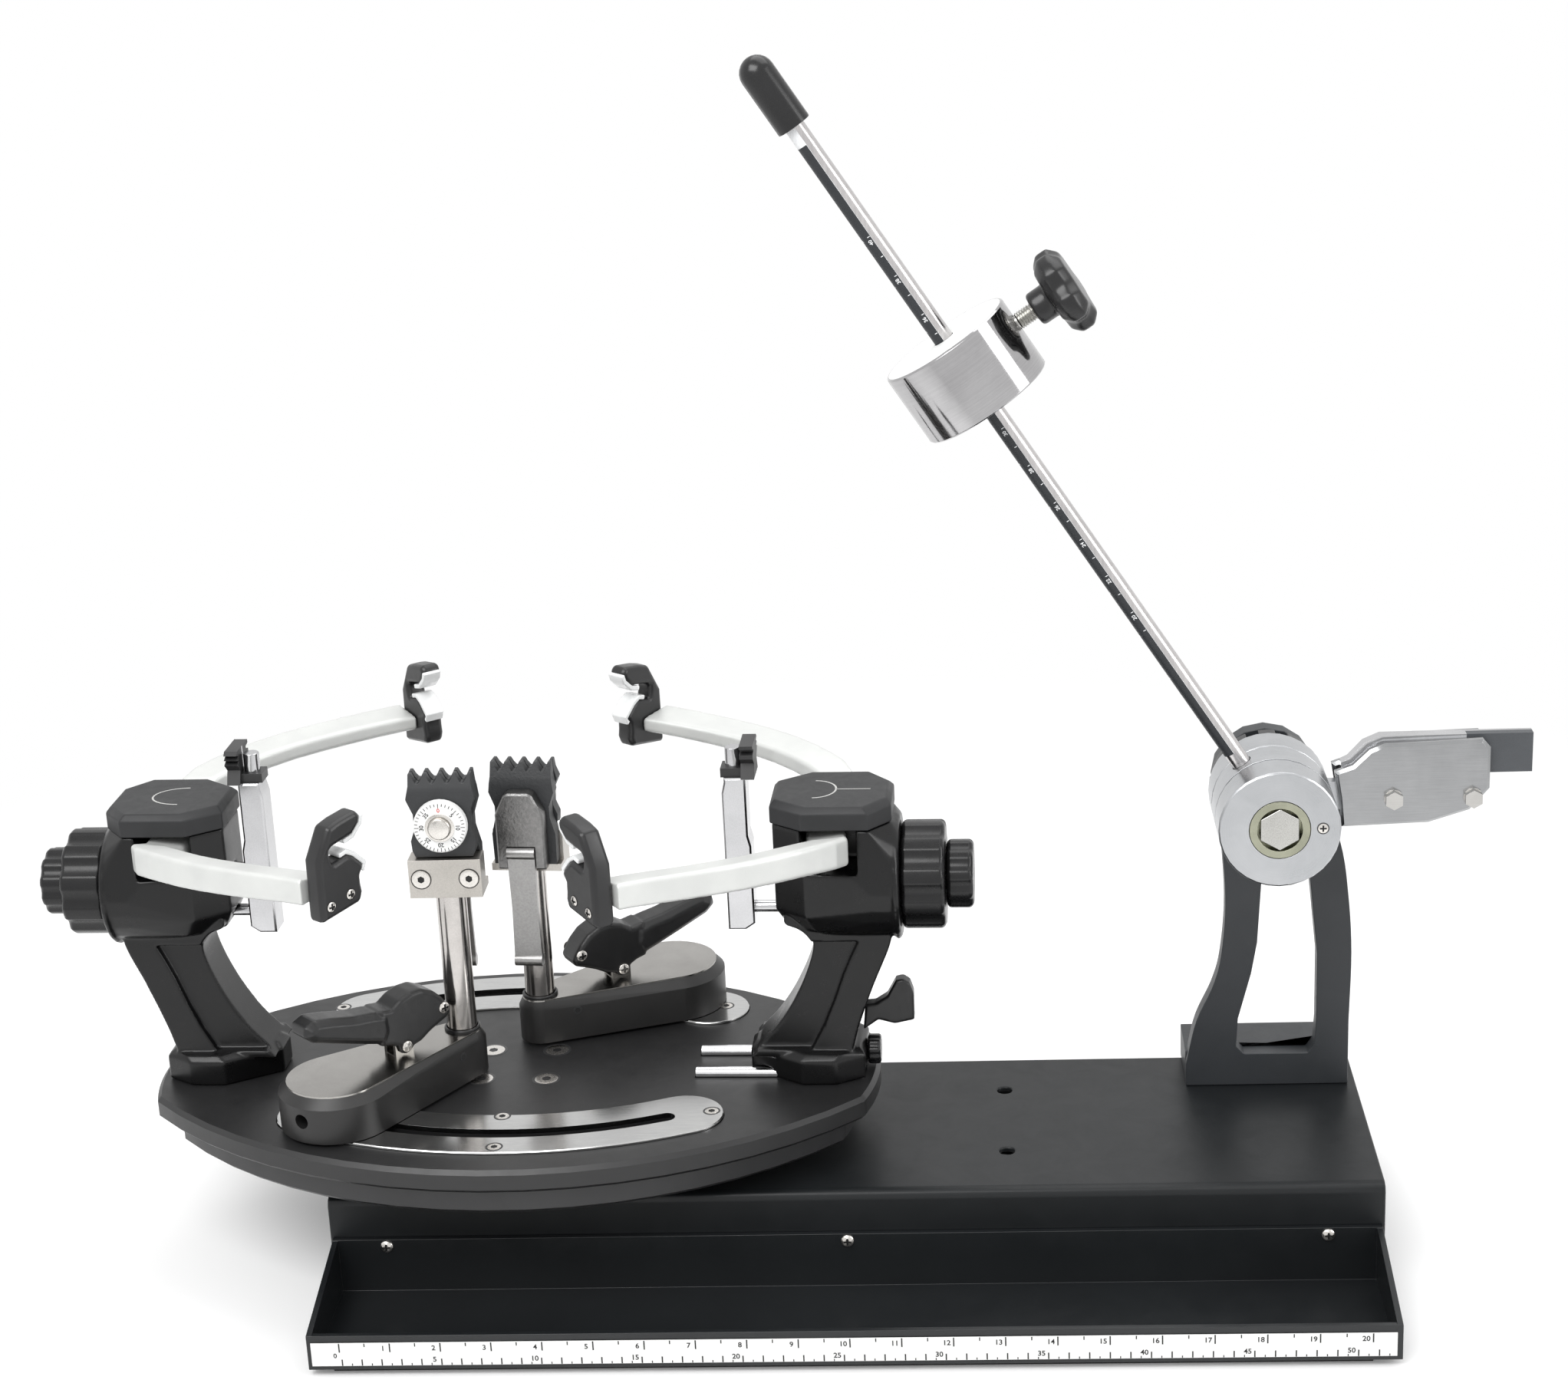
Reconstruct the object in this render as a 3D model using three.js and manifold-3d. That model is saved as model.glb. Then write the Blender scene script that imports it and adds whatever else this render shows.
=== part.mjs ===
// Table-top racket stringing machine with a drop weight, a turntable with two masts
// and two string clamps. Lengths are millimetres. X runs along the machine from the zero
// mark of the tray's scale, Y runs away from the tray, Z is up from the table.
import * as THREE from 'three';
import { mergeVertices } from 'three/addons/utils/BufferGeometryUtils.js';
import { ConvexGeometry } from 'three/addons/geometries/ConvexGeometry.js';
import Module from 'manifold-3d';

const wasm = await Module();
wasm.setup();

// Shared clearances and counts.
const seat_gap = 0.3;
const run_gap = 0.35;
const cut_overrun = 2;
const sheet = 3;
const round_sides = 32;
const small_sides = 14;
const hex_sides = 6;
const cap_steps = 6;
const star_steps = 8;
const knob_steps = 5;
const arc_steps = 8;
const rim_steps = 9;
const base_steps = 10;
const arm_steps = 15;
const weld_tolerance = 0.0005;
const least_step = 0.01;

// Base channel and tool tray.
const tray_left = -17.5;
const tray_right = 521.5;
const tray_depth = 74.7;
const lip_height = 22.3;
const tray_wall_height = 36;
const base_left = -19;
const base_right = 523;
const base_back = 230;
const base_height = 58.4;
const base_bend_radius = 5;
const foot_height = 3;
const foot_left = -6;
const foot_right = 508;
const foot_width = 14;
const foot_inset = 4;
const scale_left = -15.3;
const scale_right = 518.6;
const scale_bottom = 5.9;
const scale_top = 18.7;
const scale_thickness = 0.6;
const base_hole_radius = 4;
const base_hole_x = 333;
const base_hole_near = 117.5;
const base_hole_far = 188.4;

// Tension bracket.
const bracket_left = 431.5;
const bracket_right = 518.5;
const bracket_front = 189.5;
const bracket_thickness = 10;
const bracket_back = 229.5;
const bracket_block_right = 512;
const bracket_block_height = 18.4;
const bracket_eye_radius = 27;

// Tension head.
const drum_x = 472.2;
const drum_rise = 178.3;
const drum_z = base_height + drum_rise;
const drum_radius = 30.5;
const drum_front = 112;
const rod_drum_length = 40;
const gripper_drum_length = 20.7;
const ratchet_length = 8;
const ratchet_radius = 29.4;
const ratchet_notches = 12;
const notch_width = 6.5;
const notch_depth = 5;
const groove_depth = 0.9;
const groove_width = 1.1;
const drum_edge = 0.9;
const axle_radius = 7;
const axle_head_radius = 11;
const axle_head_depth = 6.5;
const spacer_radius = 14;
const bearing_outer_radius = 15.4;
const bearing_depth = 7;
const rod_radius = 5;
const rod_angle = 123;
const rod_y = 142.5;
const rod_start = 12;
const rod_end = 452;
const cap_radius = 8.8;
const cap_start = 420;
const cap_length = 39;
const weight_radius = 34;
const weight_length = 38;
const weight_middle = 276;
const weight_edge = 0.8;
const stud_radius = 4;
const stud_offset = 5.5;
const stud_reach = 9.5;
const knob_hub_radius = 8.8;
const knob_hub_length = 10;
const star_radius = 22;
const star_thickness = 15;
const star_lobes = 5;
const star_dip_share = 0.16;

// Gripper.
const gripper_front = 153;
const gripper_plate_thickness = 6;
const gripper_jaw_thickness = 7;
const gripper_left = 506.5;
const gripper_reach = 76;
const gripper_low_offset = -15.2;
const gripper_low = drum_z + gripper_low_offset;
const gripper_rise = 46;
const gripper_bevel = 1.6;
const jaw_bar_length = 98;
const jaw_bar_offset = 10.8;
const jaw_bar_low = drum_z + jaw_bar_offset;
const jaw_bar_rise = 21;
const bolt_head_radius = 4.9;
const bolt_head_depth = 4.2;
const bolt_shank_radius = 2.6;
const bolt_near_x = 534;
const bolt_far_x = 574;
const bolt_z = drum_z;
const gripper_arm_rise = 15;
const gripper_arm_offset = -7.7;
const gripper_arm_low = drum_z + gripper_arm_offset;

// Turntable.
const pivot_x = 73.5;
const pivot_y = 153.5;
const turntable_turn = -2;
const housing_radius = 46;
const housing_rise = 9.6;
const underplate_bottom = base_height + housing_rise;
const underplate_rise = 15;
const plate_bottom = underplate_bottom + underplate_rise;
const plate_thickness = 12.5;
const plate_top = plate_bottom + plate_thickness;
const plate_half_length = 194;
const plate_half_width = 122.5;
const plate_side_radius = 255;
const plate_end_radius = 132;
const plate_edge = 2.2;
const underplate_inset_share = 0.938;
const slot_arc_radius = 216;
const slot_half_angle = 24;
const slot_width = 9;
const glide_half_angle = 26.4;
const glide_width = 42;
const glide_thickness = 2.6;
const glide_sunk = 1.4;
const rod_groove_half_gap = 13.2;
const guide_rod_radius = 3.2;
const guide_rod_in = 97;
const guide_rod_out = 186;
const guide_rod_lift = 1.5;

// Masts, in a mast's own frame: X towards the turntable's centre.
const mast_offset = 174.5;
const foot_rise = 16.5;
const foot_top = plate_top + foot_rise;
const head_low_rise = 85.5;
const head_bottom = plate_top + head_low_rise;
const head_top_rise = 143;
const head_top = plate_top + head_top_rise;
const cap_low_rise = 143.3;
const cap_bottom = plate_top + cap_low_rise;
const cap_top_rise = 155.5;
const cap_top = plate_top + cap_top_rise;
const cap_edge = 3.2;
const head_half_width = 28;
const head_inner = 30.5;
const head_outer = 30;
const head_nose_share = 0.5;
const head_shoulder_share = 0.62;
const head_flank_share = 0.45;
const head_rear_share = 0.55;
const barrel_radius = 32;
const barrel_depth = 14;
const barrel_sides = 24;
const barrel_out = 34.5;
const knob_rise = 108.5;
const knob_z = plate_top + knob_rise;
const leg_half_depth = 18.5;
const panel_depth = 4.5;
const big_knob_radius = 28.5;
const big_knob_length = 22.5;
const small_knob_radius = 18;
const small_knob_length = 14;
const knob_lobes = 10;
const knob_dip_share = 0.09;
const knob_edge = 1.8;
const arm_slot_rise = 119.5;
const arm_slot_low = plate_top + arm_slot_rise;
const arm_slot_height = 23;
const arm_slot_high = arm_slot_low + arm_slot_height;
const arm_slot_half_width = 14.5;
const arm_slot_depth = 24;
const arm_slot_x = 1;
const arm_width = 20;
const arm_height = 17;
const arm_tip_share = 0.78;
const arm_pivot_rise = 132.5;
const arm_pivot_z = plate_top + arm_pivot_rise;
const arm_pin_radius = 4;
const arm_pin_depth = 8;
const arm_pin_x = 3;
const arm_pin_y = 15;
const hook_width = 30;
const hook_height = 50.2;
const hook_thickness = 11.5;
const hook_edge = 1.8;
const hook_turn = 36;
const hook_tip_x = 109.5;
const hook_tip_y = -119;
const hook_rise = 138.4;
const hook_bottom = plate_top + hook_rise;
const hook_back_share = 0.323;
const swing_left_front = 0;
const swing_left_rear = 4.6;
const swing_right_front = 5.2;
const swing_right_rear = 0;
const support_out_left = 44.5;
const support_out_right = 49.5;
const support_low_rise = 80.9;
const support_low = plate_top + support_low_rise;
const support_rise = 84;
const support_thickness = 14;
const support_width = 16;
const support_pin_radius = 3.2;
const support_pin_rise = 91;
const support_pin_z = plate_top + support_pin_rise;
const holder_rise = 18.5;
const holder_width = 22;
const holder_thickness = 7;
const nose_radius = 4.2;
const nose_rise = 15;
const nose_offset = 8;
const shelf_half_width = 5.9;
const lock_lever_x = -11.5;
const foot_outer = -13;
const foot_inner = 48;
const foot_shoulder = 17;
const foot_half_width = 26;
const foot_flat_start = 2;
const foot_flat_end = 20;
const foot_chamfer = 3;
const leg_reach = 42;
const leg_low_rise = 12.5;
const leg_low = plate_top + leg_low_rise;
const leg_rise = 63;
const head_taper = 5;
const collar_length = 4.2;
const cap_overhang = 1;
const slot_out_front = 83.5;
const slot_out_rear = 92;
const arm_climb = 20;
const arm_edge = 1.5;
const arm_inner_share = 0.62;
const arm_waist_share = 0.1;
const support_edge = 1;
const pin_start = 12;
const holder_shelf = 5;
const lock_lever_reach = 27;
const lock_lever_low_rise = 21.5;
const lock_lever_low = plate_top + lock_lever_low_rise;
const lock_lever_rise = 29;
const lock_lever_width = 9;
const lock_screw_radius = 3;
const lock_screw_reach = 4;
const lock_screw_head = 7;
const lock_screw_knob = 8;
const lock_screw_rise = 9;
const lock_screw_z = plate_top + lock_screw_rise;

// String clamps.
const clamp_low_rise = 1.8;
const clamp_low = plate_top + clamp_low_rise;
const clamp_spot_near = -22.4;
const clamp_spot_far = -19.8;
const clamp_turn_near = 46.5;
const clamp_turn_far = 214.7;
const clamp_big_radius = 30;
const clamp_small_radius = 12;
const clamp_post_x = 80;
const clamp_rise = 23.5;
const clamp_edge = 4.5;
const clamp_floor = 5;
const top_plate_rise = 1.3;
const post_radius = 8;
const nose_hole_radius = 4;
const nose_hole_turn = 19;
const ear_out_near = 39.5;
const ear_out_far = 33;
const ear_half_length = 5.5;
const ear_gap = 3.2;
const ear_thickness = 2.2;
const ear_rise = 10.5;
const ear_pivot_rise = 6.5;
const ear_clearance = 8.6;
const pin_radius = 2.4;
const pin_end = 0.8;
const lever_reach = 60;
const lever_rise = 32;
const lever_width = 17;
const lever_edge = 1.5;
const grip_width = 19;
const grip_edge = 3.5;
const head_turn_near = -44.5;
const head_turn_far = -38;
const block_rise_near = 105.5;
const block_low_near = plate_top + block_rise_near;
const block_rise_far = 101.5;
const block_low_far = plate_top + block_rise_far;
const block_rise = 21;
const block_front = 12;
const block_split = 1;
const block_back = 8;
const block_width = 38;
const ledge_rise = 4;
const block_screw_radius = 5;
const block_screw_share = 0.33;
const jaw_width = 36;
const jaw_rise_near = 171.5;
const jaw_top_near = plate_top + jaw_rise_near;
const jaw_rise_far = 162;
const jaw_top_far = plate_top + jaw_rise_far;
const jaw_thickness = 8;
const jaw_gap = 0.4;
const tooth_count = 5;
const tooth_rise = 5;
const tooth_end_share = 0.15;
const teeth_slope = 20;
const teeth_slope_rise = 11;
const jaw_back = 8.8;
const tooth_span_share = 0.87;
const dial_radius = 14;
const dial_depth = 6;
const dial_edge = 0.8;
const dial_hub_radius = 6;
const dial_hub_depth = 9;
const dial_share = 0.42;
const shell_width = 26;
const shell_share = 0.76;
const shell_depth = 9;
const head_lever_width = 15;
const head_lever_length = 61.2;
const head_lever_thickness = 3;
const head_lever_radius = 3.4;
const head_pivot_rise = 13.6;
const glide_edge = 0.5;

const rad = Math.PI / 180;
const half = 0.5;
const bend_share = 0.293;

// Small helpers.
function solid(geometry) {
  geometry.deleteAttribute('normal');
  geometry.deleteAttribute('uv');
  const welded = mergeVertices(geometry, weld_tolerance);
  const corners = [];
  const index = welded.index.array;
  for (let i = 0; i < index.length; i += 3) {
    const [a, b, c] = [index[i], index[i + 1], index[i + 2]];
    if (a !== b && b !== c && c !== a) corners.push(a, b, c);
  }
  const mesh = new wasm.Mesh({
    numProp: 3,
    vertProperties: new Float32Array(welded.attributes.position.array),
    triVerts: new Uint32Array(corners),
  });
  return new wasm.Manifold(mesh);
}

function box(x0, x1, y0, y1, z0, z1) {
  const geometry = new THREE.BoxGeometry(x1 - x0, y1 - y0, z1 - z0);
  geometry.translate((x0 + x1) * half, (y0 + y1) * half, (z0 + z1) * half);
  return solid(geometry);
}

function outline(points) {
  const shape = new THREE.Shape();
  points.forEach(([x, y], i) => (i ? shape.lineTo(x, y) : shape.moveTo(x, y)));
  shape.closePath();
  return shape;
}

// The same outline without points that all but repeat the one before.
function tidy_outline(shape, curve_steps) {
  const { shape: rim, holes } = shape.extractPoints(curve_steps);
  const thin = (points) => points.filter((p, i) => {
    const last = points[(i + points.length - 1) % points.length];
    return p.distanceTo(last) > least_step;
  });
  const clean = new THREE.Shape(thin(rim));
  holes.forEach((hole) => clean.holes.push(new THREE.Path(thin(hole))));
  return clean;
}

// A flat plate: the outline in XY, standing from 0 up to its thickness, edges bevelled.
function plate(shape, thickness, edge = 0, curve_steps = 12) {
  const geometry = new THREE.ExtrudeGeometry(tidy_outline(shape, curve_steps), {
    depth: thickness - 2 * edge,
    bevelEnabled: edge > 0,
    bevelThickness: edge,
    bevelSize: edge,
    bevelOffset: -edge,
    bevelSegments: 1,
    curveSegments: curve_steps,
  });
  geometry.translate(0, 0, edge);
  return solid(geometry);
}

// A turned piece about Z from a list of [radius, height] pairs.
function turned(profile, sides = round_sides) {
  const points = profile.map(([r, z]) => new THREE.Vector2(r, z));
  points.push(points[0].clone());
  const geometry = new THREE.LatheGeometry(points, sides);
  geometry.rotateX(Math.PI * half);
  return solid(geometry);
}

function disc(radius, z0, z1, edge = 0, sides = round_sides) {
  const profile = [[0, z0], [radius - edge, z0]];
  if (edge > 0) profile.push([radius, z0 + edge], [radius, z1 - edge]);
  else profile.push([radius, z1]);
  if (edge > 0) profile.push([radius - edge, z1]);
  profile.push([0, z1]);
  return turned(profile, sides);
}

// Turns a piece built along Z so that it runs along Y or X.
function along_y(piece) {
  return piece.rotate([-90, 0, 0]);
}

function along_x(piece) {
  return piece.rotate([0, 90, 0]);
}

// A profile in XZ given as [x, z] pairs, made thick along Y and centred on 0.
function side_plate(points, thickness, edge = 0) {
  const flat = plate(outline(points), thickness, edge);
  return flat.rotate([90, 0, 0]).translate([0, thickness * half, 0]);
}

function lobed(radius, lobes, dip_share, steps = 6) {
  const points = [];
  const count = lobes * steps;
  for (let i = 0; i < count; i += 1) {
    const turn = (i / count) * 2 * Math.PI;
    const wave = Math.max(0, -Math.cos(turn * lobes));
    const r = radius * (1 - dip_share * wave);
    points.push([r * Math.cos(turn), r * Math.sin(turn)]);
  }
  return outline(points);
}

function circle_hole(shape, x, y, radius) {
  const hole = new THREE.Path();
  hole.absarc(x, y, radius, 0, 2 * Math.PI, true);
  shape.holes.push(hole);
}

const group = new THREE.Group();
group.name = 'stringing_machine';

function add(name, piece, colour, roughness, metalness) {
  const data = piece.getMesh();
  const geometry = new THREE.BufferGeometry();
  const stride = data.numProp;
  const count = data.vertProperties.length / stride;
  const positions = new Float32Array(count * 3);
  for (let i = 0; i < count; i += 1) {
    for (let k = 0; k < 3; k += 1) positions[3 * i + k] = data.vertProperties[stride * i + k];
  }
  geometry.setAttribute('position', new THREE.BufferAttribute(positions, 3));
  geometry.setIndex(new THREE.BufferAttribute(new Uint32Array(data.triVerts), 1));
  geometry.computeVertexNormals();
  const material = new THREE.MeshStandardMaterial({ color: colour, roughness, metalness });
  material.name = name;
  const mesh = new THREE.Mesh(geometry, material);
  mesh.name = name;
  group.add(mesh);
}

const black = 0x17191a;
const dark = 0x26282a;
const rubber = 0x0d0e0e;
const silver = 0xc9ccd0;
const satin = 0xd8dad8;
const steel = 0xb4b2ac;
const white = 0xf2f2ee;

// Base channel, tray and feet.
function base_channel() {
  const front = tray_depth + seat_gap;
  const low = foot_height + seat_gap;
  const r = base_bend_radius;
  const inner = base_height - sheet;
  const points = [
    [front, low], [front + sheet, low], [front + sheet, inner],
    [base_back - sheet, inner], [base_back - sheet, low], [base_back, low],
    [base_back, base_height - r], [base_back - r * bend_share, base_height - r * bend_share],
    [base_back - r, base_height], [front + r, base_height],
    [front + r * bend_share, base_height - r * bend_share], [front, base_height - r],
  ];
  const profile = plate(outline(points), base_right - base_left);
  const channel = profile.rotate([90, 0, 90]).translate([base_left, 0, 0]);
  const drill = disc(base_hole_radius, inner - cut_overrun, base_height + cut_overrun, 0, small_sides);
  return channel
    .subtract(drill.translate([base_hole_x, base_hole_near, 0]))
    .subtract(drill.translate([base_hole_x, base_hole_far, 0]));
}

function tool_tray() {
  const low = foot_height + seat_gap;
  const back = tray_depth;
  const points = [
    [0, low], [back, low], [back, tray_wall_height], [back - sheet, tray_wall_height],
    [back - sheet, low + sheet], [sheet, low + sheet], [sheet, lip_height], [0, lip_height],
  ];
  const trough = plate(outline(points), tray_right - tray_left);
  const end_points = [[0, low], [back, low], [back, tray_wall_height], [0, lip_height]];
  const end = plate(outline(end_points), sheet);
  const stand = (piece, x) => piece.rotate([90, 0, 90]).translate([x, 0, 0]);
  return stand(trough, tray_left)
    .add(stand(end, tray_left))
    .add(stand(end, tray_right - sheet));
}

function foot_strip(y0) {
  return box(foot_left, foot_right, y0, y0 + foot_width, 0, foot_height);
}

// Tension bracket: a cut plate with a window, standing on a low block.
const bracket_left_shares = [[0, 0.07], [0.06, 0.21], [0.165, 0.33], [0.215, 0.43], [0.24, 0.6],
  [0.215, 0.8]];
const bracket_right_shares = [[0.93, 0.79], [0.985, 0.62], [1.01, 0.43], [1, 0.21]];
const window_shares = [[0.31, 0.13], [0.32, 0.22], [0.4, 0.37], [0.435, 0.47], [0.46, 0.68],
  [0.5, 0.79], [0.7, 0.79], [0.75, 0.68], [0.8, 0.43], [0.8, 0.21], [0.79, 0.135],
  [0.75, 0.104], [0.36, 0.104]];

function tension_bracket() {
  const low = base_height + seat_gap;
  const wide = bracket_right - bracket_left;
  const tall = drum_z - low;
  const spot = ([u, v]) => new THREE.Vector2(bracket_left + u * wide, low + v * tall);
  const shape = new THREE.Shape();
  shape.moveTo(bracket_left, low);
  shape.lineTo(bracket_left, spot(bracket_left_shares[0]).y);
  const eye_left = new THREE.Vector2(drum_x - bracket_eye_radius, drum_z);
  shape.splineThru([...bracket_left_shares.slice(1).map(spot), eye_left]);
  shape.absarc(drum_x, drum_z, bracket_eye_radius, Math.PI, 0, true);
  shape.splineThru(bracket_right_shares.map(spot));
  shape.lineTo(bracket_right, low);
  const opening = plate(new THREE.Shape(window_shares.map(spot)), bracket_thickness + 2 * cut_overrun)
    .translate([0, 0, -cut_overrun]);
  const bore = disc(axle_radius + run_gap, -cut_overrun, bracket_thickness + cut_overrun, 0,
    small_sides);
  const flat = plate(shape, bracket_thickness, 0, 4).subtract(opening)
    .subtract(bore.translate([drum_x, drum_z, 0]));
  const upright = flat.rotate([90, 0, 0]).translate([0, bracket_front + bracket_thickness, 0]);
  const block_top = low + bracket_block_height;
  const block = box(bracket_left, bracket_block_right, bracket_front + bracket_thickness * half,
    bracket_back, low, block_top);
  return upright.add(block);
}

// Tension head: pieces on the drum's axis, which runs along Y.
function on_drum(piece, y) {
  return along_y(piece).translate([drum_x, y, drum_z]);
}

function axle_bolt() {
  const head = new THREE.CylinderGeometry(axle_head_radius, axle_head_radius, axle_head_depth, hex_sides);
  head.rotateX(Math.PI * half);
  head.translate(0, 0, axle_head_depth * half);
  const end = bracket_front + bracket_thickness + spacer_radius;
  const shank = disc(axle_radius, axle_head_depth * half, end - drum_front, 0, small_sides);
  const spacer_start = rod_drum_length + gripper_drum_length + ratchet_length + 3 * seat_gap;
  const spacer = disc(spacer_radius, spacer_start, bracket_front - seat_gap - drum_front);
  return on_drum(solid(head).add(shank).add(spacer), drum_front);
}

function front_bearing() {
  const bore = axle_head_radius + run_gap;
  const outer = bearing_outer_radius - seat_gap;
  const back = bearing_depth;
  const profile = [
    [bore, 0], [outer, 0], [outer, back], [axle_radius + run_gap, back],
    [axle_radius + run_gap, axle_head_depth + seat_gap], [bore, axle_head_depth + seat_gap],
  ];
  return on_drum(turned(profile), drum_front);
}

function rod_drum() {
  const r = drum_radius;
  const groove = rod_drum_length * half + groove_width * half;
  const bore = axle_radius + run_gap;
  const recess = bearing_depth + seat_gap;
  const profile = [
    [bearing_outer_radius, 0], [r - drum_edge, 0], [r, drum_edge],
    [r, groove - groove_width], [r - groove_depth, groove - groove_width],
    [r - groove_depth, groove], [r, groove],
    [r, rod_drum_length - drum_edge * half], [r - drum_edge * half, rod_drum_length],
    [bore, rod_drum_length], [bore, recess], [bearing_outer_radius, recess],
  ];
  const socket = disc(rod_radius + run_gap, rod_start - seat_gap, r + cut_overrun, 0, small_sides);
  return on_drum(turned(profile), drum_front).subtract(on_rod(socket));
}

function gripper_drum() {
  const r = drum_radius;
  const profile = [
    [axle_radius + run_gap, 0], [r - drum_edge, 0], [r, drum_edge],
    [r, gripper_drum_length - drum_edge], [r - drum_edge, gripper_drum_length],
    [axle_radius + run_gap, gripper_drum_length],
  ];
  const y0 = drum_front + rod_drum_length + seat_gap;
  const jaw_y = gripper_front + gripper_plate_thickness + seat_gap;
  const arm = box(drum_x + drum_radius * half, bolt_near_x + gripper_arm_rise * half, jaw_y,
    jaw_y + gripper_jaw_thickness, gripper_arm_low, gripper_arm_low + gripper_arm_rise);
  const drill = bolt_hole(bolt_near_x);
  return on_drum(turned(profile), y0).add(arm).subtract(drill);
}

function ratchet_ring() {
  const profile = [
    [axle_radius + run_gap, 0], [ratchet_radius, 0], [ratchet_radius, ratchet_length],
    [axle_radius + run_gap, ratchet_length],
  ];
  let ring = turned(profile);
  const floor = ratchet_radius - notch_depth;
  const notch = box(floor, ratchet_radius + cut_overrun, -notch_width * half, notch_width * half,
    -cut_overrun, ratchet_length + cut_overrun);
  for (let i = 0; i < ratchet_notches; i += 1) {
    ring = ring.subtract(notch.rotate([0, 0, (360 * (i + half)) / ratchet_notches]));
  }
  const y0 = drum_front + rod_drum_length + gripper_drum_length + 2 * seat_gap;
  return on_drum(ring, y0);
}

// The tension rod's own line: out from the drum's axis, up and to the left.
function on_rod(piece) {
  return piece.rotate([0, 90 - rod_angle, 0]).translate([drum_x, rod_y, drum_z]);
}

function tension_rod() {
  return on_rod(disc(rod_radius, rod_start, rod_end, rod_radius * bend_share, small_sides));
}

function rod_cap() {
  const bore = rod_radius + seat_gap;
  const top = cap_start + cap_length;
  const profile = [
    [bore, cap_start], [cap_radius, cap_start], [cap_radius, top - cap_radius],
  ];
  for (let i = 1; i < cap_steps; i += 1) {
    const turn = (i / cap_steps) * Math.PI * half;
    profile.push([cap_radius * Math.cos(turn), top - cap_radius + cap_radius * Math.sin(turn)]);
  }
  profile.push([0, top], [0, rod_end + seat_gap], [bore, rod_end + seat_gap]);
  return on_rod(turned(profile, small_sides));
}

function drop_weight() {
  const bore = rod_radius + run_gap;
  const low = weight_middle - weight_length * half;
  const high = low + weight_length;
  const profile = [
    [bore, low], [weight_radius - weight_edge, low], [weight_radius, low + weight_edge],
    [weight_radius, high - weight_edge], [weight_radius - weight_edge, high], [bore, high],
  ];
  const hole = along_x(disc(stud_radius + seat_gap, 0, weight_radius + cut_overrun, 0, small_sides));
  return on_rod(turned(profile).subtract(hole.translate([0, 0, weight_middle + stud_offset])));
}

function weight_knob() {
  const reach = weight_radius + stud_reach;
  const stud = disc(stud_radius, rod_radius + 2 * seat_gap, reach + knob_hub_length, 0, small_sides);
  const hub = disc(knob_hub_radius, reach, reach + knob_hub_length + weight_edge, weight_edge);
  const star = plate(lobed(star_radius, star_lobes, star_dip_share, star_steps), star_thickness,
    star_thickness * bend_share);
  const whole = stud.add(hub).add(star.translate([0, 0, reach + knob_hub_length]));
  return on_rod(along_x(whole).translate([0, 0, weight_middle + stud_offset]));
}

// Gripper: two shaped plates with a lined jaw between them.
const gripper_shares = [[0.02, 0], [0.6, 0.03], [0.87, 0.17], [1, 0.42], [1, 0.9], [0.95, 1],
  [0.3, 0.97], [0.2, 0.9], [0.09, 0.72], [-0.03, 0.65], [0.0, 0.35]];
const jaw_shares = [[0.02, 0.52], [0.56, 0.52], [0.56, 0.58], [0.9, 0.58], [0.9, 1.02], [0.28, 1.02],
  [0.17, 0.94], [0.07, 0.76], [0.02, 0.72]];

function gripper_spot([u, v]) {
  return [gripper_left + u * gripper_reach, gripper_low + v * gripper_rise];
}

function bolt_hole(x) {
  const drill = along_y(disc(bolt_shank_radius + run_gap, -cut_overrun,
    drum_radius * 2, 0, small_sides));
  return drill.translate([x, gripper_front, bolt_z]);
}

function gripper_plate(y0) {
  const shape = outline(gripper_shares.map(gripper_spot));
  const flat = plate(shape, gripper_plate_thickness, gripper_bevel);
  const upright = flat.rotate([90, 0, 0]).translate([0, y0 + gripper_plate_thickness, 0]);
  return upright.subtract(bolt_hole(bolt_near_x)).subtract(bolt_hole(bolt_far_x));
}

function gripper_bolt(x) {
  const head = new THREE.CylinderGeometry(bolt_head_radius, bolt_head_radius, bolt_head_depth, hex_sides);
  head.rotateX(Math.PI * half);
  head.translate(0, 0, -bolt_head_depth * half);
  const length = 2 * gripper_plate_thickness + gripper_jaw_thickness + 2 * seat_gap;
  const shank = disc(bolt_shank_radius, -bolt_head_depth * half, length, 0, small_sides);
  const washer = disc(bolt_head_radius, -seat_gap, seat_gap, 0, small_sides);
  return along_y(solid(head).add(shank).add(washer)).translate([x, gripper_front, bolt_z]);
}

function gripper_jaw() {
  const y0 = gripper_front + gripper_plate_thickness + seat_gap;
  const lining = side_plate(jaw_shares.map(gripper_spot), gripper_jaw_thickness);
  const bar = box(gripper_left + gripper_reach * half, gripper_left + jaw_bar_length, y0,
    y0 + gripper_jaw_thickness, jaw_bar_low, jaw_bar_low + jaw_bar_rise);
  return lining.translate([0, y0 + gripper_jaw_thickness * half, 0]).add(bar)
    .subtract(bolt_hole(bolt_far_x));
}

// Turntable: built about its own centre, then turned and moved over the base.
function on_table(piece) {
  return piece.rotate([0, 0, turntable_turn]).translate([pivot_x, pivot_y, 0]);
}

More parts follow.
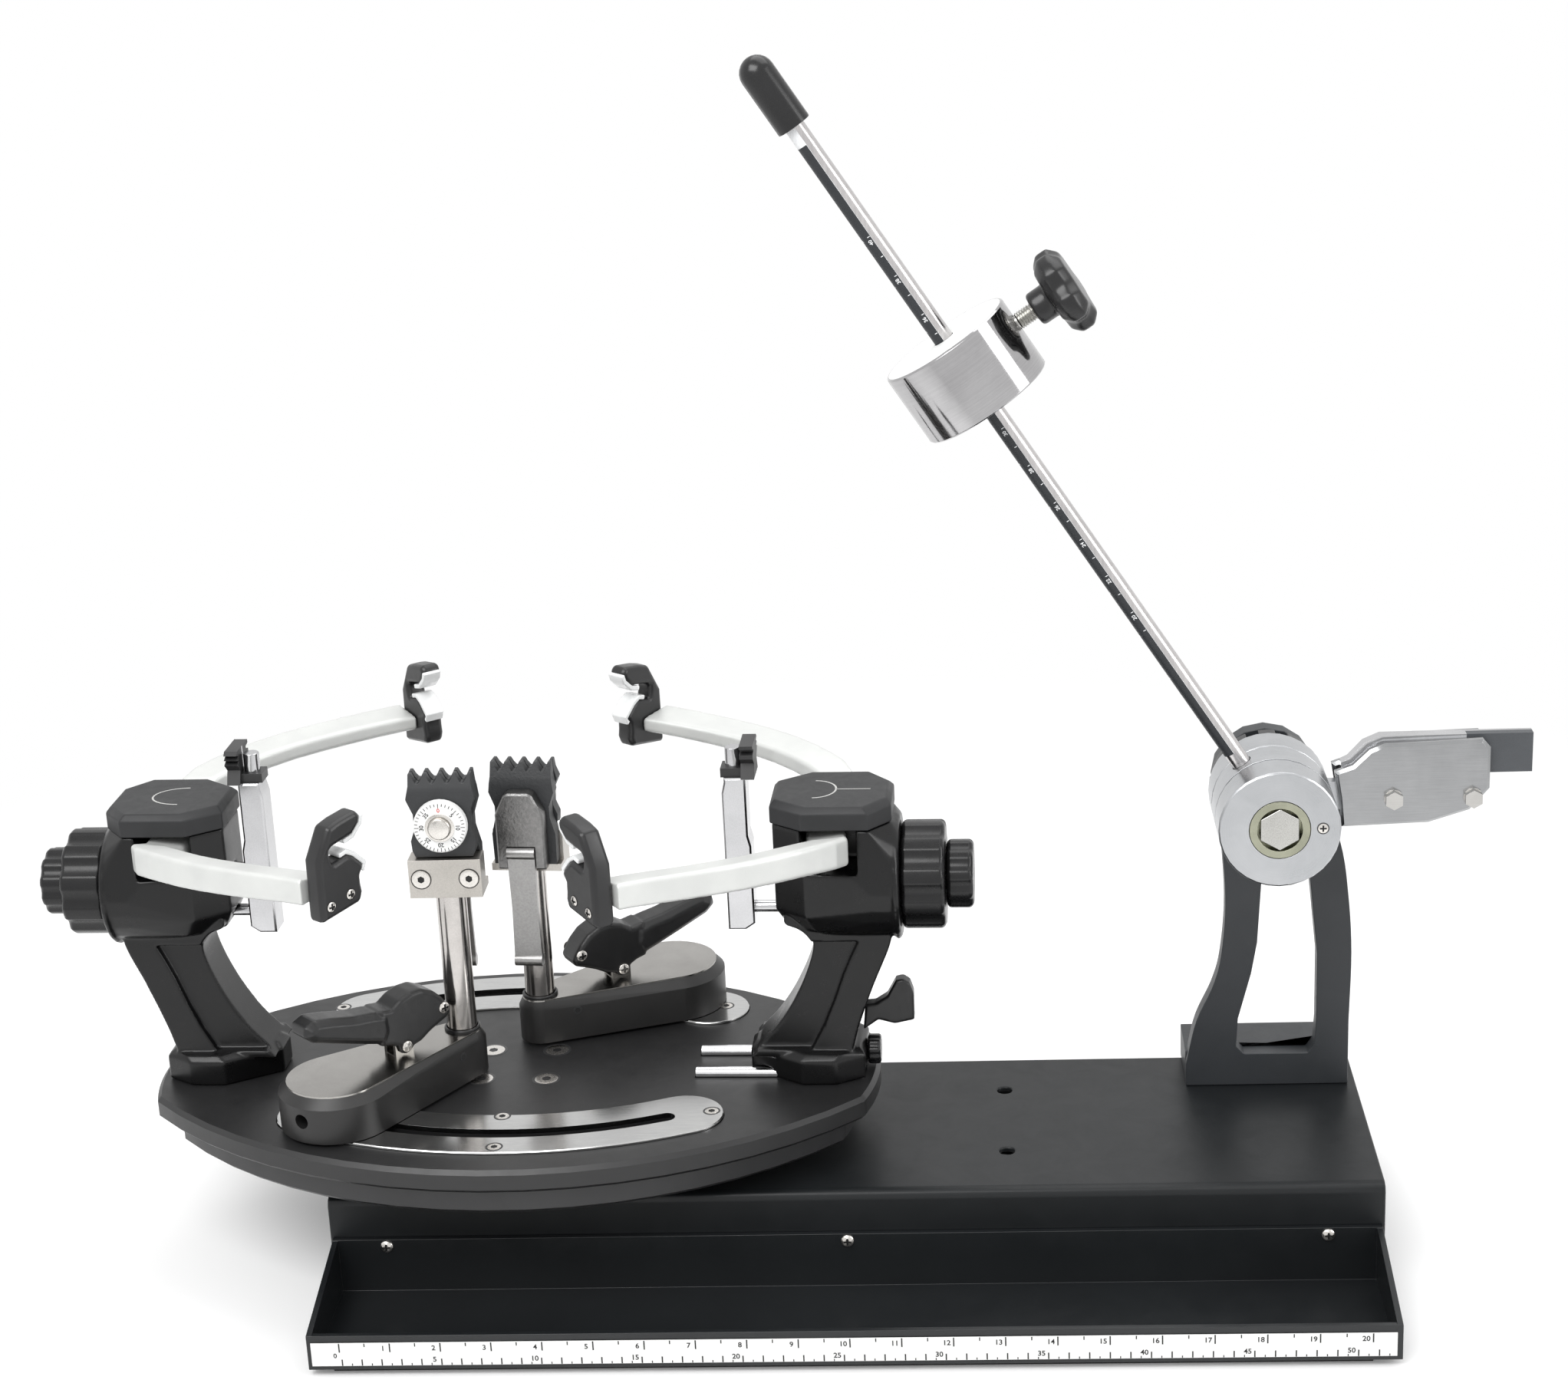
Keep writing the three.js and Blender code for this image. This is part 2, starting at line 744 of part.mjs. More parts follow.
function table_shape(scale_share) {
  const side_centre = plate_side_radius - plate_half_width;
  const end_centre = plate_half_length - plate_end_radius;
  const gap = Math.hypot(side_centre, end_centre);
  const along = (plate_side_radius ** 2 - plate_end_radius ** 2 + gap ** 2) / (2 * gap);
  const off = Math.sqrt(plate_side_radius ** 2 - along ** 2);
  const ux = end_centre / gap;
  const uy = side_centre / gap;
  const corner_x = ux * along + uy * off;
  const corner_y = uy * along - ux * off - side_centre;
  const end_turn = Math.atan2(corner_y, corner_x - end_centre);
  const side_turn = Math.atan2(corner_y + side_centre, corner_x);
  const s = scale_share;
  const shape = new THREE.Shape();
  shape.absarc(end_centre * s, 0, plate_end_radius * s, -end_turn, end_turn, false);
  shape.absarc(0, -side_centre * s, plate_side_radius * s, side_turn, Math.PI - side_turn, false);
  shape.absarc(-end_centre * s, 0, plate_end_radius * s, Math.PI - end_turn,
    Math.PI + end_turn, false);
  shape.absarc(0, side_centre * s, plate_side_radius * s, Math.PI + side_turn,
    2 * Math.PI - side_turn, false);
  return shape;
}

// Where the slot arc's centre lies on the cross axis; the slot bulges to its own side.
function slot_centre(side) {
  const out = side > 0 ? slot_out_rear : slot_out_front;
  return side * (out - slot_arc_radius);
}

// An arc-shaped band about a centre on the turntable's cross axis; side is 1 or -1.
function arc_band(side, middle_radius, width, half_angle) {
  const centre = slot_centre(side);
  const facing = side > 0 ? Math.PI * half : -Math.PI * half;
  const a0 = facing - half_angle * rad;
  const a1 = facing + half_angle * rad;
  const w = width * half;
  const tip = (turn) => [middle_radius * Math.cos(turn), centre + middle_radius * Math.sin(turn)];
  const shape = new THREE.Shape();
  shape.absarc(0, centre, middle_radius + w, a0, a1, false);
  shape.absarc(...tip(a1), w, a1, a1 + Math.PI, false);
  shape.absarc(0, centre, middle_radius - w, a1, a0, true);
  shape.absarc(...tip(a0), w, a0 + Math.PI, a0 + 2 * Math.PI, false);
  return shape;
}

function glide_pocket(side) {
  const shape = arc_band(side, slot_arc_radius, glide_width + 2 * seat_gap, glide_half_angle);
  return plate(shape, glide_sunk + cut_overrun, 0, arc_steps)
    .translate([0, 0, plate_top - glide_sunk]);
}

function slot_cut(side) {
  const shape = arc_band(side, slot_arc_radius, slot_width, slot_half_angle);
  return plate(shape, plate_top - underplate_bottom + 2 * cut_overrun, 0, arc_steps)
    .translate([0, 0, underplate_bottom - cut_overrun]);
}

function glide_plate(side) {
  const band = arc_band(side, slot_arc_radius, glide_width, glide_half_angle);
  const base = plate(band, glide_thickness, glide_edge, arc_steps);
  const low = plate_top - glide_sunk + seat_gap;
  return on_table(base.translate([0, 0, low]).subtract(slot_cut(side)));
}

function turntable_plate() {
  const thick = plate_top - plate_bottom;
  let piece = plate(table_shape(1), thick, plate_edge, rim_steps).translate([0, 0, plate_bottom]);
  for (const side of [1, -1]) {
    piece = piece.subtract(glide_pocket(side)).subtract(slot_cut(side));
    const groove = along_x(disc(guide_rod_radius + run_gap, guide_rod_in - run_gap,
      guide_rod_out + run_gap, 0, small_sides));
    piece = piece.subtract(groove.translate([0, side * rod_groove_half_gap, plate_top + guide_rod_lift]));
  }
  return on_table(piece);
}

function turntable_underplate() {
  const thick = plate_bottom - seat_gap - underplate_bottom;
  let piece = plate(table_shape(underplate_inset_share), thick, plate_edge, rim_steps)
    .translate([0, 0, underplate_bottom]);
  for (const side of [1, -1]) piece = piece.subtract(slot_cut(side));
  return on_table(piece);
}

function pivot_housing() {
  const low = base_height + seat_gap;
  const high = underplate_bottom - seat_gap;
  return disc(housing_radius, low, high, seat_gap).translate([pivot_x, pivot_y, 0]);
}

function guide_rod(side) {
  const piece = along_x(disc(guide_rod_radius, guide_rod_in, guide_rod_out, seat_gap, small_sides));
  return on_table(piece.translate([0, side * rod_groove_half_gap, plate_top + guide_rod_lift]));
}

// Masts: side -1 is the fixed one on the left, side 1 the sliding one on the right.
function on_mast(side, piece) {
  const turned_piece = side > 0 ? piece.rotate([0, 0, 180]) : piece;
  return on_table(turned_piece.translate([side * mast_offset, 0, 0]));
}

function stacked(rings) {
  return rings.flatMap(([pairs, z]) => pairs.map(([x, y]) => new THREE.Vector3(x, y, z)));
}

// The tightest solid without hollows around rings of [x, y] pairs, each at its own height.
function point_cloud(rings) {
  return solid(new ConvexGeometry(stacked(rings)));
}

function barrel_ring(x) {
  const turns = Array.from({ length: barrel_sides }, (_, i) => (i / barrel_sides) * 2 * Math.PI);
  return turns.map((turn) => new THREE.Vector3(x, barrel_radius * Math.cos(turn),
    knob_z + barrel_radius * Math.sin(turn)));
}

function mirrored(pairs) {
  const back = pairs.map(([x, y]) => [x, -y]).reverse();
  return pairs.concat(back);
}

const foot_pairs = [[foot_outer, -foot_shoulder], [foot_flat_start, -foot_half_width],
  [foot_flat_end, -foot_half_width], [foot_inner, -foot_shoulder * half]];
const head_pairs = [[-head_outer, -head_half_width * head_nose_share],
  [-head_outer * head_shoulder_share, -head_half_width],
  [head_inner * head_flank_share, -head_half_width],
  [head_inner, -head_half_width * head_rear_share]];

function grow(pairs, amount) {
  return pairs.map(([x, y]) => [x + Math.sign(x) * amount, y + Math.sign(y) * amount]);
}

const leg_outer_shares = [[-0.12, 0], [-0.18, 0.11], [-0.26, 0.3], [-0.436, 0.63], [-0.643, 0.96],
  [-0.7, 1.1]];
const leg_inner_shares = [[0.62, 1.27], [0.62, 1.2], [0.43, 1.14], [0.3, 1.03], [0.31, 0.9],
  [0.43, 0.67], [0.6, 0.44], [0.79, 0.25], [0.95, 0.13], [1.12, 0]];
const panel_shares = [[-0.28, 1.04], [-0.18, 0.9], [-0.083, 0.748], [0.043, 0.51], [0.174, 0.298],
  [0.352, 0.07], [1.4, 0.07], [1.4, 1.04]];

function leg_spot([u, v]) {
  return [u * leg_reach, leg_low + v * leg_rise];
}

function mast_body(side) {
  const low = plate_top + seat_gap;
  const foot = point_cloud([
    [mirrored(foot_pairs), low],
    [mirrored(foot_pairs), foot_top - foot_chamfer],
    [mirrored(grow(foot_pairs, -foot_chamfer)), foot_top],
  ]);
  const shape = new THREE.Shape();
  const outer = leg_outer_shares.map(leg_spot).map(([x, y]) => new THREE.Vector2(x, y));
  const inner = leg_inner_shares.map(leg_spot).map(([x, y]) => new THREE.Vector2(x, y));
  shape.moveTo(outer[0].x, outer[0].y);
  shape.splineThru(outer.slice(1));
  shape.lineTo(inner[0].x, inner[0].y);
  shape.splineThru(inner.slice(1));
  const flat = plate(shape, 2 * leg_half_depth, 0, 3);
  const leg = flat.rotate([90, 0, 0]).translate([0, leg_half_depth, 0]);
  const panel = side_plate(panel_shares.map(leg_spot), 2 * panel_depth);
  const panels = panel.translate([0, leg_half_depth, 0]).add(panel.translate([0, -leg_half_depth, 0]));
  const head = solid(new ConvexGeometry([
    ...stacked([
      [mirrored(grow(head_pairs, -head_taper)), head_bottom],
      [mirrored(head_pairs), head_bottom + head_taper * 2],
      [mirrored(head_pairs), head_top],
    ]),
    ...barrel_ring(-barrel_out),
    ...barrel_ring(barrel_depth - barrel_out),
  ]));
  let body = foot.add(leg.subtract(panels)).add(head).add(collar().translate([0, 0, knob_z]));
  for (const way of [1, -1]) {
    body = body.subtract(arm_slot(way));
    const pin_bore = disc(arm_pin_radius + run_gap, arm_slot_low - arm_pin_depth - seat_gap,
      arm_pivot_z, 0, small_sides);
    body = body.subtract(pin_bore.translate([arm_pin_x, way * arm_pin_y, 0]));
  }
  const pin_hole = along_x(disc(support_pin_radius + run_gap, 0, head_inner + cut_overrun, 0,
    small_sides));
  body = body.subtract(pin_hole.translate([0, 0, support_pin_z]))
    .subtract(pin_hole.translate([0, 0, knob_z + support_pin_radius * 2]));
  if (side > 0) body = body.subtract(rod_bores());
  return on_mast(side, body);
}

function collar() {
  const r0 = barrel_radius + knob_edge;
  return along_x(disc(r0, -barrel_out, -barrel_out + collar_length, knob_edge, round_sides));
}

// The way out for a side arm, through the mast's front or rear face.
function arm_slot(way) {
  const reach = barrel_radius + cut_overrun;
  const x0 = arm_slot_x - arm_slot_half_width;
  const x1 = arm_slot_x + arm_slot_half_width;
  const y0 = way * (head_half_width - arm_slot_depth);
  const y1 = way * reach;
  return box(x0, x1, Math.min(y0, y1), Math.max(y0, y1), arm_slot_low, arm_slot_high + cut_overrun);
}

function rod_bores() {
  const reach = foot_inner * 2;
  const bore = along_x(disc(guide_rod_radius + run_gap, -reach, reach, 0, small_sides));
  const high = plate_top + guide_rod_lift;
  return bore.translate([0, rod_groove_half_gap, high])
    .add(bore.translate([0, -rod_groove_half_gap, high]));
}

function mast_cap(side) {
  const wide = grow(head_pairs, cap_overhang);
  const narrow = grow(head_pairs, -cap_edge * half);
  const piece = point_cloud([
    [mirrored(wide), cap_bottom],
    [mirrored(wide), cap_top - cap_edge],
    [mirrored(narrow), cap_top],
  ]);
  return on_mast(side, piece);
}

function mast_knob(side, radius, x_inner, length, bore_radius) {
  const shape = lobed(radius, knob_lobes, knob_dip_share, knob_steps);
  if (bore_radius > 0) circle_hole(shape, 0, 0, bore_radius);
  const piece = plate(shape, length, knob_edge, knob_steps);
  return on_mast(side, along_x(piece).translate([x_inner - length, 0, knob_z]));
}

// Side arms: a wedge-shaped bar bent along a curve, out of the mast and round to the hook.
const arm_x_shares = [0.03, 0.02, 0.02, 0.14, 0.36, 0.63, 0.905, 1.021];
const arm_y_shares = [0.09, 0.26, 0.42, 0.56, 0.73, 0.87, 0.985, 1.034];
const arm_z_shares = [0, 0.02, 0.42, 0.62, 0.78, 0.9, 1, 1.01];

function arm_curve() {
  const points = arm_x_shares.map((share, i) => new THREE.Vector3(
    share * hook_tip_x,
    arm_y_shares[i] * hook_tip_y,
    arm_pivot_z + arm_z_shares[i] * arm_climb,
  ));
  return new THREE.CatmullRomCurve3(points, false, 'centripetal');
}

// Bends a piece built along Z so that its length follows the curve, its X going sideways.
function bend_along(geometry, length, curve, widths, heights) {
  const spots = geometry.attributes.position;
  const up = new THREE.Vector3(0, 0, 1);
  const p = new THREE.Vector3();
  for (let i = 0; i < spots.count; i += 1) {
    p.fromBufferAttribute(spots, i);
    const t = THREE.MathUtils.clamp(p.z / length, 0, 1);
    const at = curve.getPoint(t);
    const side = up.clone().cross(curve.getTangent(t)).normalize();
    at.addScaledVector(side, p.x * widths(t)).addScaledVector(up, p.y * heights(t));
    spots.setXYZ(i, at.x, at.y, at.z);
  }
  return solid(geometry);
}

// Each arm stands where the photographed one was left, turned outwards about its pin.
function swung(side, way, piece) {
  const front = way * side > 0;
  const left_turn = front ? swing_left_front : swing_left_rear;
  const right_turn = front ? swing_right_front : swing_right_rear;
  const turn = way * (side < 0 ? left_turn : right_turn);
  return piece.translate([-arm_pin_x, -way * arm_pin_y, 0]).rotate([0, 0, turn])
    .translate([arm_pin_x, way * arm_pin_y, 0]);
}

function side_arm(side, way) {
  const w = arm_width * half;
  const h = arm_height * half;
  const e = arm_edge;
  const inner_h = h * arm_inner_share;
  const section = outline([
    [-w, -h + e], [-w + e, -h], [w - e, -inner_h], [w, -inner_h + e],
    [w, inner_h - e], [w - e, inner_h], [-w + e, h], [-w, h - e],
  ]);
  const geometry = new THREE.ExtrudeGeometry(section, {
    depth: 1, steps: arm_steps, bevelEnabled: false,
  });
  const waist = (t) => 1 - arm_waist_share * Math.sin(Math.PI * t);
  const slim = (t) => 1 - (1 - arm_tip_share) * t;
  const far = box(0, hook_height, -hook_height, hook_height, 0, head_top + hook_height)
    .rotate([0, 0, -hook_turn]).translate([hook_tip_x, hook_tip_y, 0]);
  const pin = disc(arm_pin_radius, arm_slot_low - arm_pin_depth, arm_pivot_z, 0, small_sides);
  const arm = bend_along(geometry, 1, arm_curve(), waist, slim).subtract(far)
    .add(pin.translate([arm_pin_x, -arm_pin_y, 0]));
  const placed = way > 0 ? arm.mirror([0, 1, 0]) : arm;
  return on_mast(side, swung(side, way, placed));
}

// Hooks: thick plates with a slanting mouth, square to the arm's tip.
const hook_shares = [[0, 0], [0.01, 0.62], [0.287, 0.928], [0.52, 0.968], [0.887, 1], [0.977, 0.94],
  [0.943, 0.869], [0.777, 0.775], [0.337, 0.723], [0.283, 0.693], [0.29, 0.634], [0.327, 0.554],
  [0.63, 0.594], [0.757, 0.552], [0.963, 0.428], [0.863, 0.341], [0.867, 0.255], [0.887, 0.171],
  [0.83, 0.076]];

function hook(side, way) {
  const points = hook_shares.map(([u, v]) => [(u - hook_back_share) * hook_width, v * hook_height]);
  const upright = plate(outline(points), hook_thickness, hook_edge).rotate([90, 0, 90]);
  const aimed = upright.rotate([0, 0, -hook_turn]);
  const ahead = seat_gap;
  const placed = aimed.translate([
    hook_tip_x + ahead * Math.cos(hook_turn * rad),
    hook_tip_y - ahead * Math.sin(hook_turn * rad),
    hook_bottom,
  ]);
  return on_mast(side, swung(side, way, way > 0 ? placed.mirror([0, 1, 0]) : placed));
}

// Centre support: a bar on two pins with a notched holder and a nose on top.
const support_shares = [[0, 0.04], [0.35, 0], [1, 0], [1, 0.9], [0.9, 0.97], [0.9, 1], [0.1, 1],
  [0.1, 0.62], [0, 0.55]];
const holder_shares = [[0.05, 0], [0.95, 0], [0.78, 0.42], [1, 0.62], [1, 0.74], [0.82, 0.78],
  [0.82, 0.86], [1, 0.9], [1, 1], [0.1, 1], [0, 0.9], [0.15, 0.84], [0, 0.76], [0.15, 0.7],
  [0, 0.62], [0.2, 0.4]];

function centre_support(side) {
  const out = side < 0 ? support_out_left : support_out_right;
  const bar_points = support_shares.map(([u, v]) => [
    out + (u - half) * support_thickness, support_low + v * support_rise]);
  const bar = side_plate(bar_points, support_width, support_edge);
  const pin = (z, r) => along_x(disc(r, pin_start, out, 0, small_sides)).translate([0, 0, z]);
  return on_mast(side, bar.add(pin(support_pin_z, support_pin_radius))
    .add(pin(knob_z + support_pin_radius * 2, support_pin_radius))
    .add(support_holder().translate([out, 0, 0])));
}

function support_holder() {
  const low = support_low + support_rise - seat_gap;
  const back_points = holder_shares.map(([u, v]) => [(u - half) * holder_width, v * holder_rise]);
  const back = plate(outline(back_points), holder_thickness).rotate([90, 0, 90]);
  const shelf = box(0, support_thickness + seat_gap, -shelf_half_width, shelf_half_width,
    0, holder_shelf);
  const nose = disc(nose_radius, holder_shelf * half, nose_rise, seat_gap, small_sides);
  const whole = back.translate([-holder_thickness * half, 0, 0])
    .add(shelf).add(nose.translate([nose_offset, 0, 0]));
  return whole.translate([-support_thickness * half, 0, low]);
}

// Lock lever on the sliding mast.
const lock_shares = [[0, 0], [0.3, 0.2], [0.62, 0.12], [1, 0.2], [1, 0.72], [0.93, 0.92], [0.8, 1],
  [0.66, 0.97], [0.48, 0.66], [0.25, 0.52], [0.05, 0.5]];

function lock_lever() {
  const points = lock_shares.map(([u, v]) => [
    lock_lever_x - u * lock_lever_reach, lock_lever_low + v * lock_lever_rise]);
  return on_mast(1, side_plate(points, lock_lever_width, support_edge));
}

function lock_screw() {
  const shank = along_x(disc(lock_screw_radius, -lock_screw_reach, -lock_screw_head, 0, small_sides));
  const head = along_x(plate(lobed(lock_screw_knob, knob_lobes, knob_dip_share, knob_steps),
    lock_screw_head, support_edge));
  return on_mast(1, head.add(shank.translate([lock_screw_reach + lock_screw_head * half, 0, 0]))
    .translate([foot_outer - seat_gap - lock_screw_head, 0, lock_screw_z]));
}

// String clamps, each built in its own frame: X from the slot stud towards the post.
function on_clamp(number, piece) {
  const side = number === 1 ? -1 : 1;
  const turn = side < 0 ? clamp_turn_near : clamp_turn_far;
  const spin = side < 0 ? clamp_spot_near : clamp_spot_far;
  const centre = slot_centre(side);
  const facing = side > 0 ? 90 : -90;
  const at = (facing + spin) * rad;
  const x = slot_arc_radius * Math.cos(at);
  const y = centre + slot_arc_radius * Math.sin(at);
  return on_table(piece.rotate([0, 0, turn]).translate([x, y, 0]));
}

function clamp_shape(r_big, r_small) {
  const reach = clamp_post_x;
  const lean = Math.asin((r_big - r_small) / reach);
  const a = Math.PI * half - lean;
  const shape = new THREE.Shape();
  shape.absarc(0, 0, r_big, a, 2 * Math.PI - a, false);
  shape.absarc(reach, 0, r_small, -a, a, false);
  return shape;
}

function clamp_base(number) {
  const low = clamp_low;
  const high = low + clamp_rise;
  const edge = clamp_edge;
  const full = clamp_shape(clamp_big_radius, clamp_small_radius);
  const inset = clamp_shape(clamp_big_radius - edge, clamp_small_radius - edge * half);
  const rim = (shape, z) => shape.extractPoints(base_steps).shape
    .map((p) => new THREE.Vector3(p.x, p.y, z));
  const body = solid(new ConvexGeometry([
    ...rim(full, low), ...rim(full, high - edge), ...rim(inset, high),
  ]));
  const sheet_top = plate(inset, top_plate_rise, 0, base_steps).translate([0, 0, high - seat_gap]);
  const stud = disc(slot_width * half - run_gap, plate_bottom, low + seat_gap, 0, small_sides);
  const post_hole = disc(post_radius + run_gap, low + clamp_floor, low + 2 * clamp_rise, 0, small_sides);
  const nose_hole = along_x(disc(nose_hole_radius, -2 * clamp_big_radius, -clamp_big_radius * half, 0,
    small_sides)).rotate([0, 0, nose_hole_turn]).translate([0, 0, low + clamp_rise * half]);
  return on_clamp(number, body.add(sheet_top).add(stud).add(clamp_ears(number))
    .subtract(post_hole.translate([clamp_post_x, 0, 0]))
    .subtract(nose_hole));
}

function ear_out(number) {
  return number === 1 ? ear_out_near : ear_out_far;
}

// Two steel ears with a pin through them, which the lever turns on.
function clamp_ears(number) {
  const high = clamp_low + clamp_rise;
  const wide = ear_gap + ear_thickness;
  const x0 = ear_out(number) - ear_half_length;
  const x1 = ear_out(number) + ear_half_length;
  const reach = lever_width * half + pin_end;
  const pin = along_y(disc(pin_radius, -reach, reach, 0, small_sides));
  return box(x0, x1, -wide, wide, high, high + ear_rise)
    .subtract(box(x0 - cut_overrun, x1 + cut_overrun, -ear_gap, ear_gap, high + top_plate_rise,
      high + 2 * ear_rise))
    .add(pin.translate([ear_out(number), 0, high + ear_pivot_rise]));
}

const yoke_shares = [[-0.25, 0.14], [-0.258, 0.44], [-0.233, 0.75], [-0.117, 0.71], [-0.022, 0.82],
  [0.095, 0.885], [0.21, 0.88], [0.327, 0.77], [0.408, 0.616], [0.458, 0.475], [0.49, 0.356],
  [0.467, 0.25], [0.358, 0.172], [0.262, 0.094], [0.162, -0.016], [0.083, -0.047], [0.06, -0.1],
  [0, -0.15], [-0.06, -0.1], [-0.083, 0.03], [-0.15, 0.094]];
const grip_shares = [[-0.983, 0.75], [-0.9, 0.61], [-0.7, 0.47], [-0.4, 0.266], [-0.2, 0.14],
  [-0.133, 0.375], [-0.15, 0.69], [-0.283, 0.756], [-0.467, 0.806], [-0.7, 0.92], [-0.867, 0.985],
  [-0.967, 0.906]];
const shell_shares = [[-0.5, 0], [0.5, 0], [0.5, 0.72], [0.3, 0.97], [0.2, 1], [-0.2, 1],
  [-0.3, 0.97], [-0.5, 0.72]];
const front_side_shares = [[0.42, 0], [0.46, 0.08], [0.47, 0.2], [0.41, 0.34], [0.41, 0.53],
  [0.5, 0.71], [0.46, 0.86]];
const rear_side_shares = [[0.47, 0], [0.48, 0.3], [0.41, 0.47], [0.41, 0.58], [0.49, 0.72],
  [0.46, 0.87]];
const tooth_shares = [[-0.42, 0.02], [-0.26, 0.4], [-0.1, 1], [0.1, 1], [0.26, 0.4], [0.42, 0.02]];
const strip_shares = [[-1, 0], [-0.92, 0.5], [-1, 1], [1, 1], [0.92, 0.5], [1, 0]];

// The lever that locks the clamp's base: a hooped yoke astride the ears and a thick grip.
function cam_lever(number) {
  const spot = ([u, v]) => [u * lever_reach, v * lever_rise];
  const yoke = side_plate(yoke_shares.map(spot), lever_width, lever_edge);
  const grip = side_plate(grip_shares.map(spot), grip_width, grip_edge);
  const hole = along_y(disc(pin_radius + run_gap, -grip_width, grip_width, 0, small_sides));
  const wide = ear_gap + ear_thickness + 2 * seat_gap;
  const reach = ear_clearance;
  const mouth = along_y(disc(reach, -wide, wide, 0, small_sides))
    .add(box(-reach, reach, -wide, wide, -lever_rise, 0));
  const pivot_z = clamp_low + clamp_rise + ear_pivot_rise;
  return on_clamp(number, yoke.add(grip).subtract(hole).subtract(mouth)
    .translate([ear_out(number), 0, pivot_z]));
}

function on_head(number, piece) {
  const turn = number === 1 ? head_turn_near : head_turn_far;
  return on_clamp(number, piece.rotate([0, 0, turn]).translate([clamp_post_x, 0, 0]));
}

function block_low(number) {
  return number === 1 ? block_low_near : block_low_far;
}

function jaw_top(number) {
  return number === 1 ? jaw_top_near : jaw_top_far;
}

function clamp_post(number) {
  const low = block_low(number);
  const w = block_width * half;
  const shank = disc(post_radius, clamp_low + clamp_floor + seat_gap, low + ledge_rise * half, 0,
    round_sides);
  const block = box(-w, w, -block_front, block_split, low, low + block_rise)
    .add(box(-w, w, -block_front, block_back, low, low + ledge_rise));
  const screw = along_y(disc(block_screw_radius, -block_front - seat_gap, -block_front * half, 0,
    small_sides));
  let whole = shank.add(block);
  for (const way of [1, -1]) {
    whole = whole.add(screw.translate([way * block_width * block_screw_share, 0,
      low + block_rise * half]));
  }
  return on_head(number, whole);
}

function jaw_points(side_shares, low, high) {
  const tall = high - low;
  const right = side_shares.map(([u, v]) => [u * jaw_width, low + v * tall]);
  const left = right.map(([x, z]) => [-x, z]);
  const last = (tooth_count - 1) * half;
  const pitch = (jaw_width * tooth_span_share) / (2 * last);
  const crown = [];
  for (let i = -last; i <= last; i += 1) {
    tooth_shares.forEach(([u, v]) => {
      const inside = Math.abs(i + u) <= last + tooth_end_share;
      if (inside) crown.push([(i + u) * pitch, high - (1 - v) * tooth_rise]);
    });
  }
  return [...left, ...crown, ...right.reverse()];
}

// Cuts the outer face of a jaw back towards its teeth; way is -1 in front and 1 behind.
function teeth_cut(way, y, high) {
  const w = 2 * jaw_width;
  return box(-w, w, Math.min(0, way * w), Math.max(0, way * w), 0, w)
    .rotate([way * teeth_slope, 0, 0]).translate([0, y, high - teeth_slope_rise]);
}

function jaw_front(number) {
  const low = block_low(number) + block_rise + seat_gap;
  const high = jaw_top(number);
  const jaw = side_plate(jaw_points(front_side_shares, low, high), jaw_thickness)
    .translate([0, -jaw_gap - jaw_thickness * half, 0]);
  return on_head(number, jaw.subtract(teeth_cut(-1, -jaw_gap - jaw_thickness, high)));
}

function jaw_rear(number) {
  const low = block_low(number) + ledge_rise + seat_gap;
  const high = jaw_top(number);
  const w = jaw_width;
  const jaw = side_plate(jaw_points(rear_side_shares, low, high), jaw_back - jaw_gap)
    .translate([0, (jaw_back + jaw_gap) * half, 0])
    .subtract(box(-w, w, -w, block_split + seat_gap, 0, block_low(number) + block_rise + seat_gap))
    .subtract(teeth_cut(1, jaw_back, high));
  const shell_points = shell_shares.map(([u, v]) => [
    u * shell_width, low + v * shell_share * (high - low)]);
  const shell = side_plate(shell_points, shell_depth, support_edge);
  const wide = head_lever_width * half + seat_gap;
  const mouth = box(-wide, wide, jaw_back + shell_depth * half, jaw_back + shell_depth + cut_overrun,
    low - cut_overrun, block_low(number) + head_pivot_rise + head_lever_radius + seat_gap);
  return on_head(number, jaw.add(shell.translate([0, jaw_back + shell_depth * half - seat_gap, 0]))
    .subtract(mouth));
}

function clamp_dial(number) {
  const y0 = -jaw_gap - jaw_thickness - seat_gap;
  const low = block_low(number) + block_rise;
  const wheel = disc(dial_radius, 0, dial_depth, dial_edge);
  const hub = disc(dial_hub_radius, dial_depth * half, dial_hub_depth, dial_edge);
  const whole = wheel.add(hub).rotate([90, 0, 0]);
  return on_head(number, whole.translate([0, y0, low + dial_share * (jaw_top(number) - low)]));
}

function head_lever(number) {
  const points = strip_shares.map(([u, v]) => [
    u * head_lever_width * half, -v * head_lever_length]);
  const strip = side_plate(points, head_lever_thickness);
  const roll = new THREE.CylinderGeometry(head_lever_radius, head_lever_radius, head_lever_width,
    small_sides);
  roll.rotateZ(Math.PI * half);
  const top = solid(roll.clone());
  const end = solid(roll).translate([0, 0, -head_lever_length]);
  const y0 = jaw_back + shell_depth * half + head_lever_radius + seat_gap;
  return on_head(number, strip.add(top).add(end)
    .translate([0, y0, block_low(number) + head_pivot_rise]));
}

